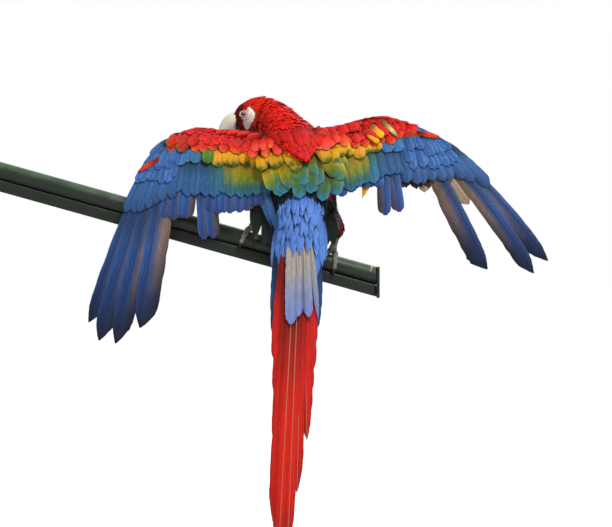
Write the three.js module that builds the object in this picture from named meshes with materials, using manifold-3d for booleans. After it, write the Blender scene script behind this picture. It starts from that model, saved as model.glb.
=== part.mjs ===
// A scarlet macaw gripping a cut length of painted rail, wings half spread, on a plain display stand.
// Millimetres, +Z up. The bird faces +Y and its left side is towards -X, so -Y looks on its back.
// The origin is on the underside of the stand's base, below the bird.

import * as THREE from "three";
import { mergeVertices } from "three/addons/utils/BufferGeometryUtils.js";
import Module from "manifold-3d";

const wasm = await Module();
wasm.setup();

// ---------------------------------------------------------------- driving dimensions

const GAP = 0.3; // clearance that touching nodes keep
const VANE = 0.8; // thickness of a flight feather
const COVERT = 0.7; // thickness of a covert
const SHINGLE = 1.3; // step in height from one feather to its neighbour in a row
const FINEST = 0.03; // detail smaller than this, left by joins and cuts, is smoothed away

const STAND = { baseX: 340, baseY: 290, baseZ: 18, corner: 34, centreX: -26, centreY: -20, rodRadius: 8 };
const SOCKET = { radius: 19, height: 26 };

const PERCH = { slope: -0.279, topZ: 522.4, radius: 14, left: -486, right: 122, railDeep: 15, railHigh: 18 };
const END_PLATE = { thick: 5, deep: 30, high: 50 };

// The trunk from the root of the tail to the back of the head: x, y, z, half width, half depth.
const TRUNK = [
  [-4, -73, 522, 20, 13],
  [-3, -60, 542, 36, 27],
  [-1, -41, 576, 47, 42],
  [0, -22, 618, 52, 52],
  [-2, -4, 658, 54, 54],
  [-15, 9, 686, 49, 48],
  [-28, 21, 708, 37, 37.5],
  [-46, 32, 724, 34.5, 36.5],
  [-55, 41, 728, 26, 27],
];
const TAIL_CUT = 0.085; // where along the trunk its nodes part
const NECK_CUT = 0.64;
const HEAD_CUT = 0.865;

const HEAD = { centre: [-69.5, 45, 731.5], yaw: 77, pitch: -15, roll: 0 };
const EYE = { forward: 15, side: 24.5, up: 6, radius: 5.6, lid: 1.6 };

const FEET = { left: -78, right: 50, heelBack: 24, heelUp: 30, tarsus: 6 };
const HIP = { side: 30, front: 2, height: 606 };

// ---------------------------------------------------------------- solids and nodes

const macaw = new THREE.Group();

function closed(geometry) {
  geometry.deleteAttribute("normal");
  geometry.deleteAttribute("uv");
  const merged = mergeVertices(geometry, 1e-4);
  const mesh = new wasm.Mesh({
    numProp: 3,
    vertProperties: new Float32Array(merged.attributes.position.array),
    triVerts: new Uint32Array(merged.index.array),
  });
  return new wasm.Manifold(mesh);
}

function largest(solid) {
  return solid.decompose().sort((a, b) => b.volume() - a.volume())[0];
}

function node(name, solid, colour, roughness, metalness = 0) {
  const mesh = largest(solid).simplify(FINEST).getMesh();
  const geometry = new THREE.BufferGeometry();
  geometry.setAttribute("position", new THREE.BufferAttribute(mesh.vertProperties, 3));
  geometry.setIndex(new THREE.BufferAttribute(mesh.triVerts, 1));
  geometry.computeVertexNormals();
  const material = new THREE.MeshStandardMaterial({ color: colour, roughness, metalness });
  const object = new THREE.Mesh(geometry, material);
  object.name = name;
  macaw.add(object);
}

function joined(solids) {
  return wasm.Manifold.union(solids);
}

// ---------------------------------------------------------------- small sums

const degrees = Math.PI / 180;
const vec = (x, y, z) => new THREE.Vector3(x, y, z);
const mix = (a, b, t) => a + (b - a) * t;

function smooth(from, to, value) {
  const t = Math.min(1, Math.max(0, (value - from) / (to - from)));
  return t * t * (3 - 2 * t);
}

// Reads a table of [place, value] pairs with straight lines between them.
function along(table, place) {
  const next = table.findIndex(([at]) => at > place);
  if (next < 0) return table[table.length - 1][1];
  if (next === 0) return table[0][1];
  const [[a, from], [b, to]] = [table[next - 1], table[next]];
  return mix(from, to, (place - a) / (b - a));
}

// A seeded draw between -1 and 1.
let seed = 20;
function draw() {
  seed = (seed * 16807) % 2147483647;
  return (seed / 2147483647) * 2 - 1;
}

// ---------------------------------------------------------------- lofts and slabs

// A closed skin over rings of equally many points, with a fan over each end.
function loft(rings) {
  const sides = rings[0].length;
  const points = rings.flat();
  const index = [];
  for (let r = 0; r + 1 < rings.length; r++) {
    for (let s = 0; s < sides; s++) {
      const a = r * sides + s;
      const b = r * sides + ((s + 1) % sides);
      index.push(a, b, a + sides, b, b + sides, a + sides);
    }
  }
  const last = (rings.length - 1) * sides;
  for (const [first, flip] of [[0, true], [last, false]]) {
    const middle = rings[flip ? 0 : rings.length - 1].reduce((sum, p) => sum.add(p), vec(0, 0, 0));
    points.push(middle.divideScalar(sides));
    const centre = points.length - 1;
    for (let s = 0; s < sides; s++) {
      const a = first + s;
      const b = first + ((s + 1) % sides);
      index.push(...(flip ? [b, a, centre] : [a, b, centre]));
    }
  }
  return outward(points, index);
}

// Turns a closed skin right side out and makes a solid of it.
function outward(points, index) {
  let volume = 0;
  for (let i = 0; i < index.length; i += 3) {
    const [a, b, c] = [points[index[i]], points[index[i + 1]], points[index[i + 2]]];
    volume += a.dot(vec(0, 0, 0).crossVectors(b, c));
  }
  if (volume < 0) index.reverse();
  const geometry = new THREE.BufferGeometry();
  geometry.setFromPoints(points);
  geometry.setIndex(index);
  return closed(geometry);
}

// A round form along a curve: stations of x, y, z, half width, half depth.
// across is the direction that the half width is measured along.
function limb(stations, { rings = 10, sides = 12, across = vec(1, 0, 0), grow = 0 } = {}) {
  const curve = new THREE.CatmullRomCurve3(stations.map(([x, y, z]) => vec(x, y, z)));
  const sizes = new THREE.CatmullRomCurve3(stations.map(([, , , wide, deep]) => vec(wide, deep, 0)));
  const loops = [];
  for (let r = 0; r <= rings; r++) {
    const t = r / rings;
    const tangent = curve.getTangent(t);
    const side = across.clone().addScaledVector(tangent, -across.dot(tangent)).normalize();
    const other = vec(0, 0, 0).crossVectors(tangent, side);
    const size = sizes.getPoint(t);
    const loop = [];
    for (let s = 0; s < sides; s++) {
      const turn = (s / sides) * 2 * Math.PI;
      const point = curve.getPoint(t);
      point.addScaledVector(side, (size.x + grow) * Math.cos(turn));
      point.addScaledVector(other, (size.y + grow) * Math.sin(turn));
      loop.push(point);
    }
    loops.push(loop);
  }
  return loft(loops);
}

// A thin sheet between two like grids of points, cut into the same triangles on both faces.
function slab(top, bottom) {
  const rows = top.length;
  const columns = top[0].length;
  const under = rows * columns;
  const at = (r, c) => r * columns + c;
  const index = [];
  for (let r = 0; r + 1 < rows; r++) {
    for (let c = 0; c + 1 < columns; c++) {
      const [a, b, d, e] = [at(r, c), at(r, c + 1), at(r + 1, c), at(r + 1, c + 1)];
      index.push(a, b, d, b, e, d);
      index.push(under + b, under + a, under + d, under + e, under + b, under + d);
    }
  }
  const rim = [];
  for (let c = 0; c < columns; c++) rim.push(at(0, c));
  for (let r = 1; r < rows; r++) rim.push(at(r, columns - 1));
  for (let c = columns - 2; c >= 0; c--) rim.push(at(rows - 1, c));
  for (let r = rows - 2; r > 0; r--) rim.push(at(r, 0));
  for (let i = 0; i < rim.length; i++) {
    const [a, b] = [rim[i], rim[(i + 1) % rim.length]];
    index.push(b, a, under + a, b, under + a, under + b);
  }
  return outward([...top.flat(), ...bottom.flat()], index);
}

// ---------------------------------------------------------------- feathers

// A row of feathers over a sheet. root(a) and heading(a) give the root and the direction of feather a,
// and slot(x, z) tells which feather's line runs through a point, so that neighbours overlap like tiles.
function row({ from, to, turn, count, bow = 0 }) {
  const place = (a) => a / Math.max(1, count - 1);
  const root = (a) => {
    const t = place(a);
    const rise = bow * 4 * t * (1 - t);
    return [mix(from[0], to[0], t), mix(from[1], to[1], t) + rise];
  };
  const heading = (a) => mix(turn[0], turn[1], place(a)) * degrees;
  const miss = (a, x, z) => {
    const [rx, rz] = root(a);
    return Math.cos(heading(a)) * (x - rx) + Math.sin(heading(a)) * (z - rz);
  };
  const slot = (x, z, guess) => {
    let a = guess;
    for (let turns = 0; turns < 12; turns++) {
      const error = miss(a, x, z);
      const rate = (miss(a + 0.01, x, z) - error) / 0.01;
      a = Math.min(guess + 4, Math.max(guess - 4, a - error / rate));
    }
    return a;
  };
  return { root, heading, slot, count };
}

// Outlines: share of the length, and share of the full width there.
const SHORT_TIP = [[0, 0.45], [0.4, 1], [0.86, 0.8], [1, 0.25]];
const ROUND_TIP = [[0, 0.4], [0.3, 0.92], [0.72, 1], [0.93, 0.66], [1, 0.15]];
const LONG_TIP = [[0, 0.3], [0.16, 0.72], [0.45, 1], [0.74, 0.9], [0.92, 0.55], [1, 0.1]];

// One feather of a row, as a sheet at a height over the field. Height counts towards -Y.
// webs are the widths on the two sides of the shaft, the first on the side of lower slots.
// bend is how far its middle bows out towards the side of higher slots.
function vane(field, feathers, slot, shape) {
  const { length, webs, lift, thick, tip, sink = 3, sway = 0, columns = 2, bend = 0 } = shape;
  const [rx, rz] = feathers.root(slot);
  const heading = feathers.heading(slot) + sway * degrees;
  const [ax, az] = [Math.sin(heading), -Math.cos(heading)];
  const [beforeX] = feathers.root(slot - 0.5);
  const [afterX] = feathers.root(slot + 0.5);
  const way = Math.sign(afterX - beforeX);
  const top = [];
  const bottom = [];
  for (const [t, wide] of tip) {
    const upper = [];
    const lower = [];
    for (let c = 0; c < columns; c++) {
      const web = mix(-webs[0], webs[1], c / (columns - 1)) * wide;
      const share = (web + bend * 4 * t * (1 - t)) * way;
      const x = rx + ax * length * t - az * share;
      const z = rz + az * length * t + ax * share;
      const rise = lift + (feathers.slot(x, z, slot) - slot) * SHINGLE - (t === 0 ? sink : 0);
      const y = field(x, z) - rise;
      upper.push(vec(x, y - thick / 2, z));
      lower.push(vec(x, y + thick / 2, z));
    }
    top.push(upper);
    bottom.push(lower);
  }
  return slab(top, bottom);
}

// Every feather of a row. lengths holds one length for all, or one for each slot, with 0 for none.
function tier(field, feathers, { lengths, uneven = 0.04, ...shape }) {
  const made = [];
  for (let slot = 0; slot < feathers.count; slot++) {
    const full = Array.isArray(lengths) ? lengths[slot] : lengths;
    const length = full * (1 + uneven * draw());
    const sway = draw();
    if (full > 0) made.push(vane(field, feathers, slot, { ...shape, length, sway }));
  }
  return made;
}

// ---------------------------------------------------------------- trunk, neck and head

const trunkCurve = new THREE.CatmullRomCurve3(TRUNK.map(([x, y, z]) => vec(x, y, z)));
const trunk = limb(TRUNK, { rings: 18, sides: 22 });
const trunkGrown = limb(TRUNK, { rings: 18, sides: 22, grow: GAP });

// The part of a solid between two places along the trunk, with half the gap taken off each cut.
function between(solid, from, to) {
  let part = solid;
  for (const [place, way] of [[from, 1], [to, -1]]) {
    if (place === null) continue;
    const normal = trunkCurve.getTangent(place).multiplyScalar(way);
    const offset = normal.dot(trunkCurve.getPoint(place)) + GAP / 2;
    part = part.trimByPlane([normal.x, normal.y, normal.z], offset);
  }
  return part;
}

// Head places are given forward, to the bird's left and up from the middle of the skull.
const headTurn = new THREE.Matrix4().makeRotationFromEuler(
  new THREE.Euler(HEAD.pitch * degrees, HEAD.roll * degrees, HEAD.yaw * degrees, "ZYX"),
);
const headMatrix = new THREE.Matrix4().makeTranslation(...HEAD.centre).multiply(headTurn);
const onHead = (forward, left, up) => vec(-left, forward, up).applyMatrix4(headMatrix);
const headSide = vec(-1, 0, 0).transformDirection(headTurn);

// Stations along the middle of the head: forward, up, half width, half height.
function headForm(stations, { rings, sides, grow = 0 }) {
  const placed = stations.map(([forward, up, wide, high]) => {
    return [...onHead(forward, 0, up).toArray(), wide, high];
  });
  return limb(placed, { rings, sides, across: headSide, grow });
}

const SKULL = [
  [-37, -2, 5, 6],
  [-31, -1, 18, 19],
  [-18, 0, 26, 28],
  [-2, 0, 28, 31],
  [13, -1, 26, 29],
  [24, -3, 21, 25],
  [31, -5, 16, 20],
];
const UPPER_BILL = [
  [27, -2, 13, 16],
  [38, 0, 13.5, 16.5],
  [51, -5, 11.5, 14],
  [61, -17, 8.5, 10],
  [63, -32, 5.2, 6],
  [58, -45, 1.3, 1.6],
];
const LOWER_BILL = [
  [20, -24, 11, 9],
  [31, -28, 11.5, 9],
  [41, -31, 9.5, 7],
  [48, -29, 5.5, 3.5],
];
const skull = headForm(SKULL, { rings: 12, sides: 18 });
const skullGrown = headForm(SKULL, { rings: 12, sides: 18, grow: GAP });
const upperBill = headForm(UPPER_BILL, { rings: 12, sides: 14 });
const upperBillGrown = headForm(UPPER_BILL, { rings: 12, sides: 14, grow: 0.7 });
const lowerBill = headForm(LOWER_BILL, { rings: 6, sides: 14 });

function ball(centre, radius, detail = 1) {
  const geometry = new THREE.IcosahedronGeometry(radius, detail);
  geometry.translate(centre.x, centre.y, centre.z);
  return closed(geometry);
}

// A lid is a ring round the eye, in the plane of the cheek.
function lid(side) {
  const ring = new THREE.TorusGeometry(EYE.radius, EYE.lid, 5, 12);
  ring.applyMatrix4(new THREE.Matrix4().makeRotationY(Math.PI / 2));
  ring.translate(-side * (EYE.side + 2.2), EYE.forward, EYE.up);
  ring.applyMatrix4(headMatrix);
  return closed(ring);
}

const flesh = joined([trunk, skull]);
let head = joined([between(flesh, HEAD_CUT, null), lid(1), lid(-1)]);
for (const side of [1, -1]) {
  const centre = onHead(EYE.forward, side * EYE.side, EYE.up);
  node(side > 0 ? "eye_left" : "eye_right", ball(centre, EYE.radius), 0x14100c, 0.15);
  head = head.subtract(ball(centre, EYE.radius + GAP));
}
node("head", head, 0xb3121a, 0.75);
node("neck", between(flesh, NECK_CUT, HEAD_CUT), 0xb0141b, 0.8);

// Nostrils open at the root of the upper bill, one each side of its ridge.
const nostrils = [1, -1].map((side) => ball(onHead(33.5, side * 8.5, 12.5), 1.6, 1));
node("bill_upper", upperBill.subtract(skullGrown).subtract(joined(nostrils)), 0xe8dcc4, 0.35);
node("bill_lower", lowerBill.subtract(upperBillGrown).subtract(skullGrown), 0x1b1a1b, 0.4);

// ---------------------------------------------------------------- the sheets that feathers lie on

// The middle line of the back, as depth for each height, and how far its sides round away from it.
const backLine = [
  [500, -86], [560, -84], [590, -81], [620, -76], [650, -67], [680, -55], [695, -45], [725, -22],
];
const BACK = { round: 80, edge: 46 };

// The spread wing beyond the shoulder: flat over the arm, hanging more steeply towards the tips.
const wingLine = [[360, -78], [450, -66], [560, -48], [620, -36], [680, -20], [720, -10], [740, -6]];

function backY(x, z) {
  const fall = Math.min(Math.abs(x), BACK.edge) ** 2 / BACK.round;
  return mix(along(backLine, z) + fall, along(wingLine, z), smooth(40, 100, Math.abs(x)));
}

// ---------------------------------------------------------------- wings

// Places along a wing are x, z pairs. lead runs along its front edge from the shoulder out to the tip
// of the hand, and trail along the roots of the flight feathers.
const WINGS = {
  left: {
    way: -1,
    lead: [[-42, 697], [-91, 702], [-136, 711], [-168, 713], [-197, 702], [-221, 683], [-243, 656]],
    trail: [[-42, 655], [-91, 650], [-136, 649], [-168, 648], [-192, 645], [-212, 640], [-234, 630]],
    wrist: { at: [-176, 713], foot: [-198, 576] },
  },
  right: {
    way: 1,
    lead: [[42, 703], [66, 717], [104, 728], [133, 732], [157, 726], [190, 714], [226, 696]],
    trail: [[42, 662], [66, 664], [104, 669], [133, 672], [157, 673], [184, 671], [214, 667]],
    wrist: { at: [166, 726], foot: [169, 571] },
  },
};

// The section of the arm: share of the way from lead to trail, and height over the sheet.
const ARM_SECTION = [
  [0, -5], [0.03, 4], [0.12, 10], [0.3, 12], [0.5, 10], [0.72, 6.5], [0.92, 3.5],
  [1, 0.5], [0.95, -3], [0.7, -9], [0.4, -14], [0.12, -13],
];

function armCore({ lead, trail }) {
  const front = new THREE.CatmullRomCurve3(lead.map(([x, z]) => vec(x, 0, z)));
  const rear = new THREE.CatmullRomCurve3(trail.map(([x, z]) => vec(x, 0, z)));
  const rings = [];
  const spans = 11;
  for (let r = 0; r <= spans; r++) {
    const t = r / spans;
    const [a, b] = [front.getPoint(t), rear.getPoint(t)];
    const full = mix(0.35, 1, smooth(0, 0.25, t)) * mix(1, 0.45, smooth(0.6, 1, t));
    rings.push(ARM_SECTION.map(([share, height]) => {
      const [x, z] = [mix(a.x, b.x, share), mix(a.z, b.z, share)];
      return vec(x, backY(x, z) - height * full, z);
    }));
  }
  return loft(rings);
}

// The side of the wrist line that the hand lies on, or the arm's side.
function atWrist(solid, { way, wrist }, hand) {
  const [dx, dz] = [wrist.foot[0] - wrist.at[0], wrist.foot[1] - wrist.at[1]];
  const length = Math.hypot(dx, dz);
  const keep = way * (hand ? 1 : -1);
  const normal = [(-dz / length) * keep, 0, (dx / length) * keep];
  const offset = normal[0] * wrist.at[0] + normal[2] * wrist.at[1] + GAP / 2;
  return solid.trimByPlane(normal, offset);
}

const FLIGHT = { thick: VANE, tip: LONG_TIP, columns: 3, uneven: 0 };
const BROAD = { thick: COVERT, tip: ROUND_TIP };
const SMALL = { thick: COVERT, tip: SHORT_TIP };

// The feathers of each wing, from the flight feathers up through the coverts to the lesser coverts,
// and then those under the wing. Rows run outwards from the shoulder, and a length of 0 is a lost feather.
const wingRow = (from, to, turn, count, shape, bow = 0) => {
  return tier(backY, row({ from, to, turn, count, bow }), shape);
};
const leftArm = [
  wingRow([-70, 658], [-188, 655], [5, -7], 10, {
    ...BROAD, lift: 0, lengths: [72, 78, 84, 84, 83, 82, 121, 124, 92, 88], webs: [13, 9],
  }),
  wingRow([-66, 668], [-184, 664], [5, -8], 10, { ...BROAD, lift: 3.6, lengths: 66, webs: [12, 9] }),
  wingRow([-66, 683], [-186, 686], [4, -10], 10, { ...SMALL, lift: 6.8, lengths: 44, webs: [10, 9] }, 4),
  wingRow([-70, 696], [-182, 703], [4, -10], 10, { ...SMALL, lift: 10, lengths: 31, webs: [9, 8] }, 4),
  wingRow([-76, 655], [-80, 655], [19, 17], 1, { ...BROAD, lift: -3.8, lengths: 160, webs: [7, 6] }),
  wingRow([-84, 672], [-176, 676], [3, -6], 7, {
    ...SMALL, lift: -8, lengths: 46, webs: [10, 9], sink: -2,
  }),
];
const leftHand = [
  wingRow([-211, 652], [-239, 655], [-8.5, -20.5], 4, {
    ...FLIGHT, lift: 0, lengths: [262, 292, 293, 270], webs: [22, 13],
  }),
  wingRow([-200, 668], [-238, 668], [-10, -24], 5, {
    ...BROAD, lift: 3.4, lengths: [70, 78, 84, 86, 80], webs: [11, 7],
  }),
  wingRow([-200, 686], [-232, 674], [-12, -26], 5, { ...SMALL, lift: 6.4, lengths: 42, webs: [10, 8] }),
  wingRow([-196, 697], [-224, 684], [-16, -32], 4, { ...SMALL, lift: 9.2, lengths: 30, webs: [9, 7] }),
  wingRow([-206, 668], [-234, 656], [-10, -22], 4, {
    ...SMALL, lift: -6, lengths: 50, webs: [10, 7], sink: -2,
  }),
];
const rightArm = [
  wingRow([66, 671], [163, 678], [-5, 2], 8, {
    ...BROAD, lift: 0, lengths: [70, 70, 62, 60, 60, 106, 104, 56], webs: [13, 9],
  }),
  wingRow([62, 681], [163, 690], [-5, 6], 9, {
    ...BROAD, lift: 3.6, lengths: [68, 70, 70, 68, 64, 60, 57, 57, 60], webs: [12, 9],
  }),
  wingRow([62, 696], [162, 704], [-5, 8], 9, { ...SMALL, lift: 6.8, lengths: 44, webs: [10, 9] }, 4),
  wingRow([64, 706], [160, 716], [-5, 10], 9, { ...SMALL, lift: 10, lengths: 31, webs: [9, 8] }, 5),
  wingRow([72, 688], [158, 698], [-4, 4], 6, {
    ...SMALL, lift: -8, lengths: 50, webs: [11, 9], sink: -2,
  }),
];
const rightHand = [
  wingRow([196, 683], [222, 688], [27, 42], 4, {
    ...FLIGHT, lift: 0, lengths: [222, 0, 262, 258], webs: [25, 10], bend: 5,
  }),
  wingRow([174, 686], [218, 689], [8, 43], 5, {
    ...BROAD, lift: 3.4, lengths: [66, 68, 72, 76, 82], webs: [11, 8],
  }),
  wingRow([176, 704], [208, 696], [14, 44], 4, { ...SMALL, lift: 6.4, lengths: 42, webs: [11, 9] }),
  wingRow([176, 714], [202, 706], [20, 50], 4, { ...SMALL, lift: 9.2, lengths: 30, webs: [9, 7] }),
  wingRow([180, 694], [212, 690], [14, 40], 4, {
    ...SMALL, lift: -6, lengths: 48, webs: [10, 8], sink: -2,
  }),
];

for (const [name, wing, arm, hand] of [
  ["left", WINGS.left, leftArm, leftHand],
  ["right", WINGS.right, rightArm, rightHand],
]) {
  const core = armCore(wing);
  const armSolid = joined([core, ...arm.flat()]).subtract(trunkGrown);
  const handSolid = joined([core, ...hand.flat()]);
  node(`wing_${name}_arm`, atWrist(armSolid, wing, false), 0x2f7f6a, 0.6);
  node(`wing_${name}_hand`, atWrist(handSolid, wing, true), 0x234e9c, 0.55);
}

// ---------------------------------------------------------------- shoulder feathers of the torso

// They lie over the roots of the wings, close to the back along its middle and higher towards the sides.
const SHOULDER = { clear: 1.5, rise: 13, from: 30, to: 58 };
function shoulderY(x, z) {
  return backY(x, z) - SHOULDER.clear - SHOULDER.rise * smooth(SHOULDER.from, SHOULDER.to, Math.abs(x));
}

// One row on one side, with its roots sunk in the back at a level, and its lift over the lowest row.
function shoulderRow(way, count, level, outer, lift, length) {
  const ends = { from: [way * 8, level], to: [way * outer, level] };
  const feathers = row({ ...ends, turn: [way, way * 14], count });
  return tier(shoulderY, feathers, { ...SMALL, lift, lengths: length, webs: [8, 10], sink: 4 + lift });
}
const shoulders = [-1, 1].flatMap((way) => [
  shoulderRow(way, 4, 660, 33, 0, 58),
  shoulderRow(way, 4, 677, 31, 2.4, 50),
  shoulderRow(way, 3, 692, 27, 4.8, 42),
]);
const torsoCore = between(flesh, TAIL_CUT, NECK_CUT);
node("torso", joined([torsoCore, ...shoulders.flat()]), 0xa8141c, 0.8);

// ---------------------------------------------------------------- tail

const TAIL = { top: 531, rootY: -76, tilt: 9, lean: -2.2, middle: -4 };
const tailY = (x, z) => TAIL.rootY + (z - TAIL.top) * Math.tan(TAIL.tilt * degrees) + 0.004 * x * x;

// The quills from the middle outwards on the left, the long one right of the middle, and the rest.
const tailRow = (from, to, turn, count, shape) => tier(tailY, row({ from, to, turn, count }), shape);
const tailFeathers = [
  tailRow([-7, 531], [-24, 525], [-3, -4.2], 6, {
    ...FLIGHT, lift: 2 * SHINGLE, lengths: [496, 490, 440, 330, 250, 190], webs: [12, 11],
  }),
  tailRow([0, 531], [4, 531], [-2.7, -2.7], 2, {
    ...FLIGHT, lift: 0.6 * SHINGLE, lengths: [484, 0], webs: [12, 11],
  }),
  tailRow([4, 531], [17, 525], [0.9, 1.8], 5, {
    ...FLIGHT, lift: -0.6 * SHINGLE, lengths: [314, 286, 248, 206, 166], webs: [12, 11],
  }),
];
for (const way of [-1, 1]) {
  const from = [TAIL.middle + way * 3, TAIL.top];
  const over = way < 0 ? 2 * SHINGLE : 0;
  const turned = (spread) => [TAIL.lean + way * 0.2, TAIL.lean + way * spread];
  tailFeathers.push(
    tailRow(from, [TAIL.middle + way * 17, TAIL.top - 2], turned(3.5), 3, {
      ...BROAD, lift: 5.6 + over, lengths: way < 0 ? [136, 112, 82] : [128, 104, 78], webs: [10, 9],
    }),
    tailRow(from, [TAIL.middle + way * 15, TAIL.top], turned(8), 3, {
      ...SMALL, lift: -11, lengths: way < 0 ? [80, 66, 54] : [76, 62, 52], webs: [9, 9],
    }),
  );
}
node("tail", between(joined([trunk, ...tailFeathers.flat()]), null, TAIL_CUT), 0xb2161d, 0.6);

// ---------------------------------------------------------------- perch

const perchTurn = Math.atan(PERCH.slope);
const perchAlong = vec(Math.cos(perchTurn), 0, Math.sin(perchTurn));
const perchUp = vec(-Math.sin(perchTurn), 0, Math.cos(perchTurn));
const perchTop = (x) => PERCH.topZ + PERCH.slope * x;

// A point near the perch: x along the level, then depth and height from the line of its top.
function byPerch(x, back, up) {
  return vec(x, 0, perchTop(x)).addScaledVector(perchUp, up).add(vec(0, back, 0));
}

function lain(geometry, x, up) {
  geometry.applyMatrix4(new THREE.Matrix4().makeRotationY(-perchTurn));
  const middle = byPerch(x, 0, up);
  geometry.translate(middle.x, middle.y, middle.z);
  return closed(geometry);
}

// The bars are made too long and sawn off upright at both ends.
const perchLength = (PERCH.right - PERCH.left) / Math.cos(perchTurn) + 2 * PERCH.radius;
const perchMiddle = (PERCH.right + PERCH.left) / 2;
function sawn(bar) {
  return bar.trimByPlane([1, 0, 0], PERCH.left).trimByPlane([-1, 0, 0], -PERCH.right);
}
function tube(radius, length = perchLength) {
  const bar = new THREE.CylinderGeometry(radius, radius, length, 28);
  bar.applyMatrix4(new THREE.Matrix4().makeRotationZ(Math.PI / 2));
  return lain(bar, perchMiddle, -PERCH.radius);
}
const railUp = -2 * PERCH.radius - GAP - PERCH.railHigh / 2;
const rail = new THREE.BoxGeometry(perchLength, PERCH.railDeep, PERCH.railHigh);
const plate = new THREE.BoxGeometry(END_PLATE.thick, END_PLATE.deep, END_PLATE.high);
plate.translate(PERCH.right + END_PLATE.thick / 2 + GAP, 0, perchTop(PERCH.right) - END_PLATE.high / 2);
node("perch_tube", sawn(tube(PERCH.radius)), 0x1f3327, 0.45, 0.1);
node("perch_rail", sawn(lain(rail, perchMiddle, railUp)), 0x1c2e24, 0.5, 0.1);
node("perch_end_plate", closed(plate), 0x0e0f0f, 0.5);

// ---------------------------------------------------------------- legs and feet

const grippedTube = tube(PERCH.radius + GAP, perchLength + 2);

// Toes: start and end angle round the perch, side step at the root and at the tip, root radius.
const TOES = [
  { name: "inner_front", from: 78, to: 8, step: [-5, -12], radius: 4.6 },
  { name: "outer_front", from: 78, to: -24, step: [5, 9], radius: 5 },
  { name: "outer_rear", from: 102, to: 204, step: [5, 11], radius: 4.9 },
  { name: "hind", from: 102, to: 166, step: [-5, -11], radius: 4.6 },
];
const CLAW = { curl: 40, root: 2.9, tip: 0.5 };

// A point round the perch: angle from +Y through the top, distance from the axis, and step along it.
function roundPerch(x, angle, distance, step) {
  const point = byPerch(x, 0, -PERCH.radius).addScaledVector(perchAlong, step);
  point.add(vec(0, distance * Math.cos(angle * degrees), 0));
  return point.addScaledVector(perchUp, distance * Math.sin(angle * degrees));
}

function toe(x, way, { from, to, step, radius }) {
  const stations = [];
  const joints = 5;
  for (let j = 0; j <= joints; j++) {
    const t = j / joints;
    const knuckle = j % 2 === 1 ? 0.35 : -0.25;
    const thick = mix(radius, radius * 0.72, t) + knuckle;
    const distance = PERCH.radius + thick * 0.86;
    const point = roundPerch(x, mix(from, to, t), distance, way * mix(step[0], step[1], t));
    stations.push([...point.toArray(), thick, thick]);
  }
  return limb(stations, { rings: 7, sides: 7, across: perchAlong });
}

function claw(x, way, { from, to, step, radius }) {
  const turn = Math.sign(to - from);
  const stations = [];
  for (const t of [0, 0.35, 0.7, 1]) {
    const angle = to + turn * (1.2 + t * CLAW.curl);
    const distance = PERCH.radius + radius * 0.72 + 0.9 + 4.2 * t * (1 - t) - 0.6 * t;
    const thick = mix(CLAW.root, CLAW.tip, t);
    const point = roundPerch(x, angle, distance + 1.2 * t, way * (step[1] + 0.5 * t));
    stations.push([...point.toArray(), thick * 0.8, thick]);
  }
  return limb(stations, { rings: 4, sides: 6, across: perchAlong });
}

for (const [name, way] of [["left", -1], ["right", 1]]) {
  const x = FEET[name];
  const heel = byPerch(x, -FEET.heelBack, FEET.heelUp);
  const sole = byPerch(x, -1, 5);
  const shank = sole.clone().sub(heel).normalize();
  const start = heel.clone().addScaledVector(shank, GAP);
  const middle = start.clone().lerp(sole, 0.5);
  const tarsus = limb([
    [...start.toArray(), FEET.tarsus + 1, FEET.tarsus + 1],
    [...middle.toArray(), FEET.tarsus - 0.6, FEET.tarsus - 0.4],
    [...sole.toArray(), FEET.tarsus + 2, FEET.tarsus + 1],
  ], { rings: 6, sides: 10 });
  const toes = TOES.map((shape) => toe(x, way, shape));
  const claws = TOES.map((shape) => claw(x, way, shape));
  const foot = joined([tarsus, ...toes]).subtract(grippedTube);
  TOES.forEach((shape, i) => {
    const apart = joined([tarsus, toes[i]]);
    node(`claw_${name}_${shape.name}`, claws[i].subtract(grippedTube).subtract(apart), 0x17181a, 0.3);
  });
  node(`foot_${name}`, foot, 0x4c4a48, 0.7);

  // The feathered shank runs past the heel and is cut off there, square to the tarsus.
  const hip = vec(way * HIP.side, HIP.front, HIP.height);
  const knee = vec(mix(hip.x, x, 0.62), 10, mix(hip.z, heel.z, 0.5));
  const above = heel.clone().addScaledVector(shank, -14);
  const past = heel.clone().addScaledVector(shank, 7);
  const plain = { rings: 4, sides: 14 };
  const bent = (place, radius) => {
    const ball = closed(new THREE.SphereGeometry(radius, 14, 10));
    return ball.translate(place.x, place.y, place.z);
  };
  const thigh = joined([
    limb([[...hip.toArray(), 30, 33], [...knee.toArray(), 22, 25]], plain),
    bent(knee, 23.5),
    limb([[...knee.toArray(), 22, 23], [...above.toArray(), 13.5, 14]], plain),
    bent(above, 13.6),
    limb([[...above.toArray(), 13.4, 13.4], [...past.toArray(), 7.5, 7.5]], plain),
  ]);
  const back = shank.clone().negate();
  const leg = thigh.subtract(trunkGrown).trimByPlane(back.toArray(), back.dot(heel));
  node(`thigh_${name}`, largest(leg).asOriginal(), 0x6d1a1c, 0.8);
}

// ---------------------------------------------------------------- stand

function plateOutline(wide, deep, corner) {
  const shape = new THREE.Shape();
  const [x, y] = [wide / 2, deep / 2];
  shape.moveTo(-x + corner, -y);
  shape.lineTo(x - corner, -y);
  shape.absarc(x - corner, -y + corner, corner, -Math.PI / 2, 0);
  shape.lineTo(x, y - corner);
  shape.absarc(x - corner, y - corner, corner, 0, Math.PI / 2);
  shape.lineTo(-x + corner, y);
  shape.absarc(-x + corner, y - corner, corner, Math.PI / 2, Math.PI);
  shape.lineTo(-x, -y + corner);
  shape.absarc(-x + corner, -y + corner, corner, Math.PI, 1.5 * Math.PI);
  return shape;
}

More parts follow.
